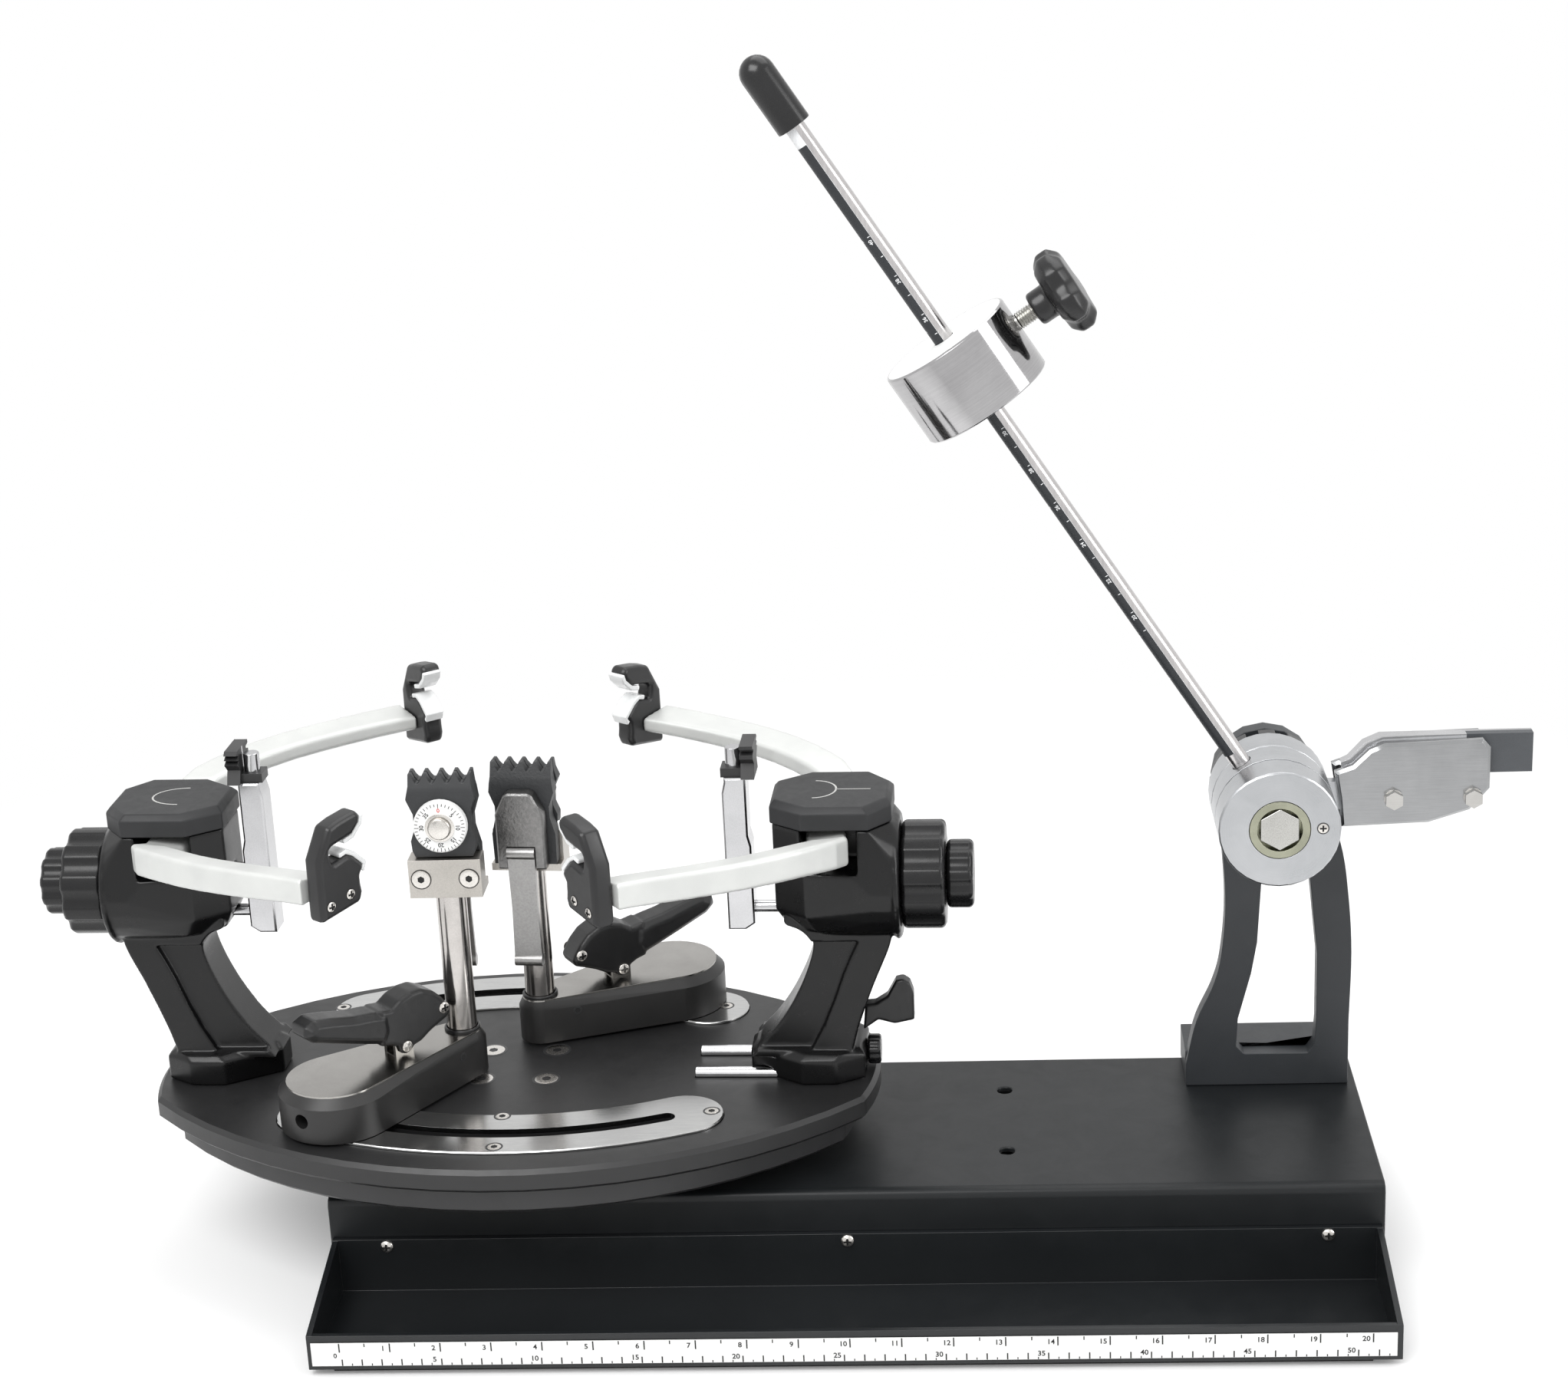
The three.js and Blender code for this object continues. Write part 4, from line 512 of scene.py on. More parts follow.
def mast_finishes(side, name):
    """The mast with its cap, knobs, arms, hooks and centre support."""
    FINISH[f"mast_{name}"] = (CAST, MAST_FORM)
    FINISH[f"mast_cap_{name}"] = (CAP, 0.8)
    FINISH[f"arm_knob_{name}"] = (KNOB, 0.9)
    FINISH[f"support_knob_{name}"] = (KNOB, 0.9)
    for end in ("front", "rear"):
        FINISH[f"arm_{name}_{end}"] = (ARM, ARM_FORM)
        FINISH[f"hook_{name}_{end}"] = (HOOK, 1.3)
    nose = mast_frame(side) @ shift(SUPPORT_OUT[side] + 1, 0, 0)
    screw = both(above(SUPPORT_SCREW_LOW), within(nose, SUPPORT_SCREW_RADIUS))
    zoned_finish(f"centre_support_{name}", 0.5, [
        (None, *BRIGHT),
        (above(SUPPORT_BLACK_LOW), *BLACK_PLASTIC),
        (screw, *BRIGHT),
    ], depth=0.00001, strength=0.15)


def clamp_finishes(number):
    """The clamp's base, lever, post, jaws and dial."""
    head = head_frame(number)
    FINISH[f"cam_lever_{number}"] = (LEVER, CAM_LEVER_FORM)
    FINISH[f"jaw_front_{number}"] = (JAW, 0.5)
    FINISH[f"head_lever_{number}"] = (SATIN_STEEL, 0.6)
    zoned_finish(f"clamp_base_{number}", 0.45, [
        (None, *CLAMP_BLACK),
        (above(TOP_PLATE_LOW), *STAINLESS),
    ])
    zoned_finish(f"clamp_post_{number}", 0.4, [
        (None, *POST_STEEL),
        (above(BLOCK_LOW[number] - 0.1), *NICKELLED),
    ], depth=0.00002)
    zoned_finish(f"jaw_rear_{number}", 0.5, [
        (None, *JAW_GREY),
        (beyond(head, (0, 1, 0), JAW_BACKING_AT), *HAMMERED_GREY),
    ], grain=560, depth=0.00022, strength=0.9)
    zoned_finish(f"clamp_dial_{number}", 0.3, [
        (None, *DIAL_WHITE),
        (beyond(head, (0, -1, 0), DIAL_RIM_AT), *NICKELLED),
    ], strength=0.1)


def head_finishes():
    """The weight and the gripper on the tension head."""
    rod = rod_frame()
    disc = both(beyond(rod, (0, 0, 1), WEIGHT_DISC_AT), within(rod, WEIGHT_DISC_RADIUS))
    zoned_finish("drop_weight", 0.5, [
        (None, *WEIGHT_CHROME),
        (disc, *FLAT_WHITE),
    ], depth=0.00001, strength=0.12, marks=about_rod)
    zoned_finish("weight_knob", KNOB_FORM, [
        (None, *STUD_STEEL),
        (beyond(rod, (1, 0, 0), KNOB_HUB_AT), *KNOB_BLACK),
    ], grain=2600, depth=0.00001, strength=0.06)
    jaw_body = beyond(WORLD, (-1, 0, 0), -JAW_BODY_RIGHT)
    zoned_finish("gripper_jaw", 0.4, [
        (None, *DARK_GREY),
        (both(jaw_body, above(LINING_LOW)), *LINING_BLACK),
        (both(beyond(WORLD, (0, 1, 0), JAW_BAR_AT), jaw_body), *BRIGHT),
        (beyond(WORLD, (0, 1, 0), JAW_BACK_AT), *BRIGHT),
    ])
    zoned_finish("gripper_plate_front", 1.3, [
        (None, *PLATE_POLISHED),
        (beyond(WORLD, (0, -1, 0), -PLATE_BOLTS_AT), *BOLT_STEEL),
    ], depth=0.00001, strength=0.12, marks=crossways)


mast_finishes(-1, "left")
mast_finishes(1, "right")
clamp_finishes(1)
clamp_finishes(2)
head_finishes()

# Rounding of edges and forms, with modifiers alone.
EDGE_ANGLE = math.radians(30)


def shade_smooth(mesh):
    for polygon in mesh.polygons:
        polygon.use_smooth = True


def bevel_edges(obj, width, corner="MITER_SHARP"):
    bevel = obj.modifiers.new("edges", "BEVEL")
    bevel.width = width * MM
    bevel.segments = 2
    bevel.limit_method = "ANGLE"
    bevel.angle_limit = EDGE_ANGLE
    bevel.use_clamp_overlap = True
    bevel.miter_outer = corner
    weighted = obj.modifiers.new("normals", "WEIGHTED_NORMAL")
    weighted.weight = 60


def soften(obj, width):
    """Rounds the solid's real edges and shades its curves."""
    shade_smooth(obj.data)
    weld = obj.modifiers.new("weld", "WELD")
    weld.merge_threshold = 0.000005
    flat = obj.modifiers.new("flat", "DECIMATE")
    flat.decimate_type = "DISSOLVE"
    flat.angle_limit = math.radians(0.5)
    bevel_edges(obj, width, "MITER_ARC")


def melt(obj, voxel, rounds):
    """Rounds a cast or moulded solid all over: a fine remesh, then a slight smoothing."""
    remesh = obj.modifiers.new("remesh", "REMESH")
    remesh.mode = "VOXEL"
    remesh.voxel_size = voxel * MM
    remesh.use_smooth_shade = True
    smooth = obj.modifiers.new("smooth", "SMOOTH")
    smooth.factor = 0.6
    smooth.iterations = rounds


def clear_normals(mesh):
    if mesh.has_custom_normals:
        mesh.normals_split_custom_set([(0, 0, 0)] * len(mesh.loops))


for name, node in NODES.items():
    material, rounding = FINISH[name]
    node.data.materials.clear()
    node.data.materials.append(material)
    clear_normals(node.data)
    if isinstance(rounding, tuple):
        melt(node, *rounding)
    else:
        soften(node, rounding)


# Small pieces. The recess of a screw ends at least this high above the solid beneath.
RECESS_FLOOR = 0.03
CROSS_ARM = 0.26
SCREW_SIDES = 48


def add_object(name, data):
    obj = bpy.data.objects.new(name, data)
    bpy.context.scene.collection.objects.link(obj)
    return obj


def hexagon(size):
    """The radius of a hexagon by the angle, with its sides at the given distance."""
    def radius(angle):
        fold = (angle + math.pi / 6) % (math.pi / 3) - math.pi / 6
        return size / math.cos(fold)
    return radius


def cross(size):
    """The radius of a cross by the angle, with its ends at the given distance."""
    def radius(angle):
        fold = abs((angle + math.pi / 4) % (math.pi / 2) - math.pi / 4)
        return min(size / math.cos(fold), CROSS_ARM * size / max(math.sin(fold), 1e-6))
    return radius


class Piece:
    """A mesh built in millimetres in one of the machine's frames."""

    def __init__(self, name, body, slot, material, matrix):
        self.name = name
        self.body = body
        self.slot = slot
        self.materials = [material]
        self.matrix = matrix
        self.bm = bmesh.new()

    def faces_since(self, start, material):
        """Gives the faces made since then a material of their own, if there is one."""
        if material is None:
            return
        if material not in self.materials:
            self.materials.append(material)
        index = self.materials.index(material)
        self.bm.faces.ensure_lookup_table()
        for face in self.bm.faces[start:]:
            face.material_index = index

    def place(self, verts, matrix):
        if matrix is not None:
            bmesh.ops.transform(self.bm, matrix=matrix, verts=verts)

    def outline(self, points, z):
        return [self.bm.verts.new((x, y, z)) for x, y in points]

    def ring(self, radius, z, sides):
        """A closed ring of vertices; radius is a function of the angle."""
        angles = [2 * math.pi * i / sides for i in range(sides)]
        return self.outline([(radius(a) * math.cos(a), radius(a) * math.sin(a)) for a in angles], z)

    def wall(self, lower, upper):
        """The faces between two rings, of which either may be a single point."""
        for i in range(max(len(lower), len(upper))):
            j = (i + 1) % max(len(lower), len(upper))
            if len(lower) == 1:
                self.bm.faces.new((lower[0], upper[j], upper[i]))
            elif len(upper) == 1:
                self.bm.faces.new((lower[i], lower[j], upper[0]))
            else:
                self.bm.faces.new((lower[i], lower[j], upper[j], upper[i]))

    def prism(self, points, z0, z1, matrix=None):
        low = self.outline(points, z0)
        high = self.outline(points, z1)
        self.bm.faces.new(low[::-1])
        self.bm.faces.new(high)
        self.wall(low, high)
        self.place(low + high, matrix)

    def box(self, x0, x1, y0, y1, z0, z1):
        self.prism([(x0, y0), (x1, y0), (x1, y1), (x0, y1)], z0, z1)

    def flat(self, points, z, matrix):
        verts = self.outline(points, z)
        self.bm.faces.new(verts)
        self.place(verts, matrix)

    def lathe(self, profile, sides, matrix=None, material=None):
        """Turns [radius, height] pairs about Z; a radius of 0 makes a point."""
        start = len(self.bm.faces)
        rings = []
        for radius, z in profile:
            if radius == 0:
                rings.append(self.outline([(0, 0)], z))
            else:
                rings.append(self.ring(lambda angle, size=radius: size, z, sides))
        for lower, upper in zip(rings, rings[1:]):
            self.wall(lower, upper)
        self.place([vert for ring in rings for vert in ring], matrix)
        self.faces_since(start, material)

    def shade_ring(self, inner, outer, height, sides, matrix=None, material=DARK_STEEL_AND_SHADE):
        """A thin flat dark ring round a screw head, such as the rim of a countersink: painted shade
        of that gap.
        """
        self.lathe([(inner, 0), (outer, 0), (outer, height), (inner, height)], sides, matrix,
                   material)

    def screw(self, matrix, radius, height, recess, depth, dome=0.0):
        """A screw head on the plane z 0; recess gives the radius of the hole in its top."""
        top = height + dome
        profile = [
            (lambda angle: radius, 0.0),
            (lambda angle: radius, height * 0.75),
            (lambda angle: radius * 0.93, height),
            (lambda angle: radius * 0.7, height + dome * 0.7),
            (recess, top),
        ]
        rings = [self.ring(shape, z, SCREW_SIDES) for shape, z in profile]
        for lower, upper in zip(rings, rings[1:]):
            self.wall(lower, upper)
        self.bm.faces.new(rings[0][::-1])
        # The hole's walls and floor take a near-black: painted shade.
        start = len(self.bm.faces)
        floor = max(top - depth, RECESS_FLOOR)
        low = self.outline([(vert.co.x * 0.96, vert.co.y * 0.96) for vert in rings[-1]], floor)
        self.wall(rings[-1], low)
        self.bm.faces.new(low)
        self.faces_since(start, PAINTED_RECESS_SHADE)
        self.place([vert for ring in rings + [low] for vert in ring], matrix)

    def text(self, body, size, z, matrix, material=None, bend=None):
        """Plain numerals as flat faces, centred on the frame's origin."""
        curve = bpy.data.curves.new("numeral", "FONT")
        curve.body = body
        curve.size = size
        curve.align_x = "CENTER"
        curve.align_y = "CENTER"
        curve.resolution_u = 3
        curve.offset = 0.02 * size
        written = add_object("numeral", curve)
        bpy.context.view_layer.update()
        mesh = bpy.data.meshes.new_from_object(
            written.evaluated_get(bpy.context.evaluated_depsgraph_get()))
        start = len(self.bm.faces)
        before = len(self.bm.verts)
        self.bm.from_mesh(mesh)
        self.bm.verts.ensure_lookup_table()
        verts = self.bm.verts[before:]
        for vert in verts:
            vert.co.z = z
        self.place(verts, matrix)
        if bend:
            for vert in verts:
                vert.co = bend(vert.co)
        self.faces_since(start, material)
        bpy.data.objects.remove(written)
        bpy.data.curves.remove(curve)
        bpy.data.meshes.remove(mesh)

    def done(self, edge=0.0, smooth=True):
        """Makes the object, rounds its edges by so much, and lets it ride on its body."""
        mesh = bpy.data.meshes.new(self.name)
        placed = to_frame(self.matrix)
        bmesh.ops.transform(self.bm, matrix=placed, verts=self.bm.verts)
        if placed.determinant() < 0:
            bmesh.ops.reverse_faces(self.bm, faces=self.bm.faces)
        self.bm.normal_update()
        self.bm.to_mesh(mesh)
        self.bm.free()
        for material in self.materials:
            mesh.materials.append(material)
        obj = add_object(self.name, mesh)
        if smooth:
            shade_smooth(mesh)
            if edge > 0:
                bevel_edges(obj, edge)
            else:
                mesh.set_sharp_from_angle(angle=EDGE_ANGLE)
        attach(obj, self.body)


# Printed scales.
INCH = 25.4
INCH_START = -1
RULER_FACE = -0.9
RULER_END = 518
PRINT_DEEP = -0.05
PRINT_LIFT = 0.06
# Lower and upper ends of the marks, and the middles of the numbers, up the scale's face.
INCH_MARK = (13.6, 18.5)
HALF_INCH_MARK = (16.6, 18.5)
INCH_NUMBERS = 15.6
CENTIMETRE_MARK = (6.1, 9.6)
HALF_CENTIMETRE_MARK = (6.1, 7.3)
CENTIMETRE_NUMBERS = 9.2
NUMBER_SIZE = 3.9
NUMBER_LEFT = 3.4


def ruler_marks():
    """Centimetres along the scale's lower half and inches along its upper half."""
    # The frame's X runs along the scale, its Y up it, and its Z towards the viewer.
    face = shift(0, RULER_FACE, 0) @ turn(90, "X")
    piece = Piece("ruler_marks", "frame", "scale_print", PRINT_AND_SHADE_BLACK, face)

    def mark(x, half_width, low, high):
        piece.box(x - half_width, x + half_width, low, high, PRINT_DEEP, PRINT_LIFT)

    def number(value, size, x, y):
        piece.text(str(value), size, PRINT_LIFT, shift(x, y, 0))

    for inches in range(21):
        x = inches * INCH + INCH_START
        mark(x, 0.33, *INCH_MARK)
        if x + INCH / 2 < RULER_END:
            mark(x + INCH / 2, 0.28, *HALF_INCH_MARK)
        if inches > 0:
            number(inches, NUMBER_SIZE, x - NUMBER_LEFT, INCH_NUMBERS)
    for centimetres in range(52):
        x = centimetres * 10
        mark(x, 0.33, *CENTIMETRE_MARK)
        mark(x + 5, 0.24, *HALF_CENTIMETRE_MARK)
        if centimetres > 0 and centimetres % 5 == 0:
            number(centimetres, NUMBER_SIZE, x - NUMBER_LEFT, CENTIMETRE_NUMBERS)
    number(0, 3.6, -3.3, 11.6)
    piece.done(smooth=False)


STRIP_RADIUS = 5.08
STRIP_MIDDLE = math.radians(46)
STRIP_HALF_WIDTH = 4.3
STRIP_LOW = 38
STRIP_HIGH = 410
STRIP_END = 419.5
STRIP_MARK_LIFT = 0.02
STRIP_NUMBER_LIFT = 0.03
STRIP_NUMBER_SIZE = 2.7
# Where each column's zero would be along the rod, and how far its numbers are apart.
KILO_ZERO = -121.6
KILO_STEP = 26.657
POUND_ZERO = -98.95
POUND_STEP = 11.403


def on_rod(co):
    """X runs along the rod, Y round it from the strip's middle, and Z out of it."""
    angle = STRIP_MIDDLE + co.y / STRIP_RADIUS
    radius = STRIP_RADIUS + co.z
    return Vector((-radius * math.sin(angle), -radius * math.cos(angle), co.x))


def rod_scale():
    """A printed strip that lies round part of the rod, with two columns of numbers."""
    piece = Piece("rod_scale", "rod_arm", "scale_print", STRIP, rod_frame())
    wide = STRIP_HALF_WIDTH

    def wrap(x0, x1, y0, y1, lift, material, steps):
        start = len(piece.bm.faces)
        around = [y0 + (y1 - y0) * k / steps for k in range(steps + 1)]
        low, high = [[piece.bm.verts.new(on_rod(Vector((x, y, lift)))) for y in around]
                     for x in (x0, x1)]
        for k in range(steps):
            piece.bm.faces.new((low[k], low[k + 1], high[k + 1], high[k]))
        piece.faces_since(start, material)

    def tick(x, y0, y1):
        wrap(x - 0.18, x + 0.18, y0, y1, STRIP_MARK_LIFT, PRINT_WHITE, 3)

    def number(value, x, y):
        piece.text(str(value), STRIP_NUMBER_SIZE, STRIP_NUMBER_LIFT, shift(x, y, 0), PRINT_WHITE,
                   on_rod)

    wrap(STRIP_LOW, STRIP_HIGH, -wide, wide, 0, STRIP, 12)
    wrap(STRIP_HIGH, STRIP_END, -wide, wide, 0, PRINT_WHITE, 12)
    wrap(STRIP_LOW, STRIP_END, -wide, -wide + 0.14, STRIP_MARK_LIFT, PRINT_WHITE, 1)
    for halves in range(14, 37):
        x = KILO_ZERO + KILO_STEP * halves / 2
        whole = halves % 2 == 0
        tick(x, wide - (2.2 if whole else 1.3), wide - 0.6)
        if whole:
            number(halves // 2, x - 2.7, wide - 2.0)
    for pounds in range(19, 41):
        x = POUND_ZERO + POUND_STEP * pounds
        tick(x, -wide + 0.5, -wide + 1.9)
        if pounds % 2 == 0:
            number(pounds, x - 2.9, -wide + 1.7)
    piece.done(smooth=False)


ruler_marks()
rod_scale()

# Screws of the base, the turntable, the drum and the weight.
TRAY_SCREWS_X = (11, 250, 494)
TRAY_SCREWS_Y = 71.74
TRAY_SCREWS_Z = 32.3
HUB_SCREW_OUT = 17.5
HUB_TOP = 95.42
GLIDE_SCREWS = ((73.7, 89.4), (74.5, 55.4), (181.9, 91.7), (-37.2, 228.1), (180, 220.8))
GLIDE_TOP = 96.98
DRUM_SCREW = (493.5, 112, 237.2)
WEIGHT_MIDDLE = 281.5
THREAD_START = 34.4
THREAD_PITCH = 1.3
THREAD_TURNS = 6


def tray_screws():
    piece = Piece("tray_screws", "frame", "steel", SCREW, WORLD)
    for x in TRAY_SCREWS_X:
        at = shift(x, TRAY_SCREWS_Y, TRAY_SCREWS_Z) @ turn(90, "X")
        piece.screw(at, 3.3, 1.2, cross(1.9), 0.9, 0.8)
    piece.done()


def table_screws():
    piece = Piece("table_screws", "turntable", "steel", SCREW, TABLE @ shift(0, 0, HUB_TOP))
    for x in (-HUB_SCREW_OUT, HUB_SCREW_OUT):
        for y in (-HUB_SCREW_OUT, HUB_SCREW_OUT):
            at = shift(x, y, 0)
            # A dark ring round each screw's foot: painted shade of its countersink.
            piece.lathe([(7.6, 0.0), (7.6, 0.16), (7.1, 0.22), (6.2, 0.22)], 40, at, DARK_STEEL_AND_SHADE)
            piece.screw(at, 6.2, 0.24, hexagon(2.2), 1.2)
    piece.done()


def glide_screws():
    piece = Piece("glide_screws", "turntable", "steel", SCREW, TABLE)
    for x, y in GLIDE_SCREWS:
        at = TABLE.inverted() @ Vector((x, y, 0))
        piece.screw(shift(at.x, at.y, GLIDE_TOP), 3.4, 0.16, hexagon(1.6), 1.1)
        # A dark ring round each screw head: painted shade of its countersink.
        piece.shade_ring(3.6, 4.5, 0.06, 36, shift(at.x, at.y, GLIDE_TOP + 0.01))
    piece.done()


def drum_screw():
    piece = Piece("drum_screw", "rod_arm", "steel", SCREW, shift(*DRUM_SCREW) @ turn(90, "X"))
    piece.screw(None, 2.5, 0.2, cross(1.7), 0.9, 0.2)
    # A dark ring round the screw head: painted shade of the gap round it.
    piece.shade_ring(2.5, 3.1, 0.08, 32)
    piece.done()


def stud_thread():
    """Ridges round the stud between the weight and the knob's hub."""
    piece = Piece("stud_thread", "weight_knob", "steel", ZINC,
                  rod_frame() @ shift(0, 0, WEIGHT_MIDDLE) @ turn(90, "Y"))
    profile = [(3.8, THREAD_START)]
    for i in range(THREAD_TURNS):
        z = THREAD_START + i * THREAD_PITCH
        profile += [(4.5, z + THREAD_PITCH * 0.5), (3.9, z + THREAD_PITCH)]
    piece.lathe(profile, 24)
    piece.done()


tray_screws()
table_screws()
glide_screws()
drum_screw()
stud_thread()

# Details of the hooks. The swings are those of the arms at rest, in degrees.
SWING = {"left_front": 0, "left_rear": 4.6, "right_front": 5.2, "right_rear": 0}
ARM_PIN = (3, 15)
HOOK_TIP = (109.5, -119)
HOOK_GAP = 0.3
HOOK_TURN = 36
HOOK_LOW = 233.9
HOOK_WIDE = 30
HOOK_TALL = 50.2
HOOK_THICK = 11.5
# The pads' outer edges as shares of the hook's width and height, and the share of the
# width at which the hook's frame has its origin.
UPPER_PAD = ((0.60, 0.752), (0.777, 0.775), (0.943, 0.869), (0.977, 0.94))
LOWER_PAD = ((0.905, 0.385), (0.963, 0.428), (0.757, 0.552), (0.63, 0.594), (0.50, 0.575))
HOOK_ORIGIN = 0.323
PAD_DEPTH = 2.6
PAD_INNER_END = -0.9
PAD_OUTER_GAP = 1.6
PAD_EDGE = 0.7
HOOK_SCREWS = ((-4, 241.2), (8.4, 243.7))
# The plate's Y and Z become the prism's X and Y, and its X the prism's height.
ON_PLATE = Matrix(((0, 0, 1, 0), (1, 0, 0, 0), (0, 1, 0, 0), (0, 0, 0, 1)))


def hook_frame(side, way, swing):
    """X runs out of the hook plate's outer face, Y across it and Z up."""
    pin = shift(ARM_PIN[0], way * ARM_PIN[1], 0)
    flip = Matrix.Diagonal((1, -1, 1, 1)) if way > 0 else WORLD
    ahead = math.radians(HOOK_TURN)
    tip = shift(HOOK_TIP[0] + HOOK_GAP * math.cos(ahead), HOOK_TIP[1] - HOOK_GAP * math.sin(ahead),
                HOOK_LOW)
    return (mast_frame(side) @ pin @ turn(way * swing, "Z") @ pin.inverted() @ flip @ tip
            @ turn(-HOOK_TURN, "Z"))


def offset_line(points, out):
    """The points moved to their right by out, square to the line."""
    moved = []
    for i, (x, y) in enumerate(points):
        x0, y0 = points[max(i - 1, 0)]
        x1, y1 = points[min(i + 1, len(points) - 1)]
        length = math.hypot(x1 - x0, y1 - y0)
        moved.append((x + (y1 - y0) / length * out, y - (x1 - x0) / length * out))
    return moved


def hook_parts(side, way):
    """Clear pads and two screws on the hook at one end of a mast's arms."""
    arm = ("left_" if side < 0 else "right_") + ("front" if way * side > 0 else "rear")
    at = hook_frame(side, way, SWING[arm])
    pads = Piece(f"hook_pads_{arm}", f"arm_{arm}", "scale_print", PAD, at)
    for line in (UPPER_PAD, LOWER_PAD):
        edge = [((across - HOOK_ORIGIN) * HOOK_WIDE, up * HOOK_TALL) for across, up in line]
        pads.prism(edge + offset_line(edge, PAD_DEPTH)[::-1], PAD_INNER_END,
                   HOOK_THICK - PAD_OUTER_GAP, ON_PLATE)
    pads.done(PAD_EDGE)
    screws = Piece(f"hook_screws_{arm}", f"arm_{arm}", "steel", SCREW, at)
    for y, z in HOOK_SCREWS:
        outwards = shift(HOOK_THICK, y, z - HOOK_LOW) @ turn(90, "Y")
        screws.screw(outwards @ shift(0, 0, -0.1), 2.5, 0.35, cross(1.9), 0.8, 0.35)
        # A black ring round each screw head: painted shade of the gap round it.
        screws.shade_ring(2.5, 3.0, 0.12, 32, outwards, PRINT_AND_SHADE_BLACK)
    screws.done()


for side in (-1, 1):
    for way in (1, -1):
        hook_parts(side, way)

# Lines printed on the mast caps.
CAP_TOP = 251.06


def stroke(piece, points, width):
    """A flat printed line through the points."""
    left = piece.outline(offset_line(points, -width / 2), 0)
    right = piece.outline(offset_line(points, width / 2), 0)
    for i in range(len(points) - 1):
        piece.bm.faces.new((right[i + 1], right[i], left[i], left[i + 1]))


def cap_marks():
    """Plain arcs that show which end the racket's head lies at."""
    angles = [math.radians(degrees) for degrees in range(90, 271, 12)]
    left = Piece("cap_mark_left", "turntable", "scale_print", PRINT_GREY,
                 TABLE @ shift(-MAST_OUT, 0, CAP_TOP))
    stroke(left, [(7 + 16.5 * math.cos(a), 12.3 * math.sin(a)) for a in angles], 1.0)
    left.done(smooth=False)
    right = Piece("cap_mark_right", "mast_right", "scale_print", PRINT_GREY,
                  TABLE @ shift(MAST_OUT, 0, CAP_TOP))
    stroke(right, [(-9.5 - 11.5 * math.cos(a), 12.6 * math.sin(a)) for a in angles], 1.0)
    stroke(right, [(2, 0), (10, 0), (19.7, 0)], 0.8)
    right.done(smooth=False)


cap_marks()

# Details of the clamps.
DIAL_SHARE = 0.42
DIAL_FACE = 14.7
DIAL_MARKS = 40
DIAL_MARK_HALF = 0.18
DIAL_MARK_OUTER = 13.2
DIAL_PRINT_LIFT = 0.04
BLOCK_SCREW_OUT = 12.54
BLOCK_FACE = 12.28
LEVER_SCREWS = ((0, 127.3), (24.5, 141.3))
LEVER_HALF_WIDTH = 8.1
SET_SCREW = {1: (64, 112.8), 2: (-60.4, 113.8)}
SET_SCREW_SIDE = {1: -1, 2: 1}


def dial_parts(number, head):
    """Marks, numbers and a bright ring on the dial's face."""
    low = BLOCK_LOW[number] + BLOCK_HEIGHT
    middle = low + DIAL_SHARE * (JAW_TOP[number] - low)
    face = head @ shift(0, -DIAL_FACE, middle) @ turn(90, "X")
    body = f"clamp_dial_{number}"
    marks = Piece(f"dial_marks_{number}", body, "scale_print", PRINT_AND_SHADE_BLACK, face)
    half = DIAL_MARK_HALF
    outer = DIAL_MARK_OUTER
    for i in range(DIAL_MARKS):
        spin = turn(-360 / DIAL_MARKS * i, "Z")
        inner = 10.9 if i % 5 == 0 else 11.6
        marks.flat([(-half, inner), (half, inner), (half, outer), (-half, outer)],
                   DIAL_PRINT_LIFT, spin)
        if i % 5 == 0:
            marks.text(str(i), 3.1, DIAL_PRINT_LIFT, spin @ shift(0, 9.4, 0),
                       PRINT_RED if i == 0 else None)
    marks.done(smooth=False)
    ring = Piece(f"dial_ring_{number}", body, "steel", SCREW, face)
    ring.lathe([(6.1, 0.0), (7.7, 0.0), (7.7, 0.35), (7.3, 0.55), (6.1, 0.55)], 48)
    ring.lathe([(5.2, 3.0), (5.2, 3.12), (4.9, 3.25), (0, 3.25)], 48)
    ring.done()


def block_screws(number, head):
    piece = Piece(f"block_screws_{number}", f"clamp_head_{number}", "steel", SCREW, head)
    for way in (-1, 1):
        middle = BLOCK_LOW[number] + BLOCK_HEIGHT / 2
        at = shift(way * BLOCK_SCREW_OUT, -BLOCK_FACE, middle) @ turn(90, "X")
        piece.screw(at, 4.7, 0.3, hexagon(1.7), 1.4)
        # A black ring round each screw head: painted shade of the gap round it.
        piece.shade_ring(5.0, 5.4, 0.05, 40, at, PRINT_AND_SHADE_BLACK)
    piece.done()


def lever_screws(number, base):
    piece = Piece(f"lever_screws_{number}", f"cam_lever_{number}", "steel", SCREW, base)
    for x, z in LEVER_SCREWS:
        for way in (-1, 1):
            at = shift(EAR_OUT[number] + x, way * LEVER_HALF_WIDTH, z) @ turn(-way * 90, "X")
            piece.screw(at, 3.0, 0.9, cross(2.1), 1.0, 0.5)
    piece.done()


def set_screw(number, base):
    """A black screw in the slanted side of the clamp's base."""
    tilt = math.degrees(math.acos((BASE_ROUND - POST_ROUND) / POST_X))
    side = turn(SET_SCREW_SIDE[number] * tilt, "Z")
    piece = Piece(f"set_screw_{number}", f"clamp_base_{number}", "steel", DARK_STEEL_AND_SHADE, base)
    piece.screw(side @ shift(BASE_ROUND, *SET_SCREW[number]) @ turn(90, "Y"), 2.5, 0.12,
                hexagon(1.3), 1.4)
    piece.done()


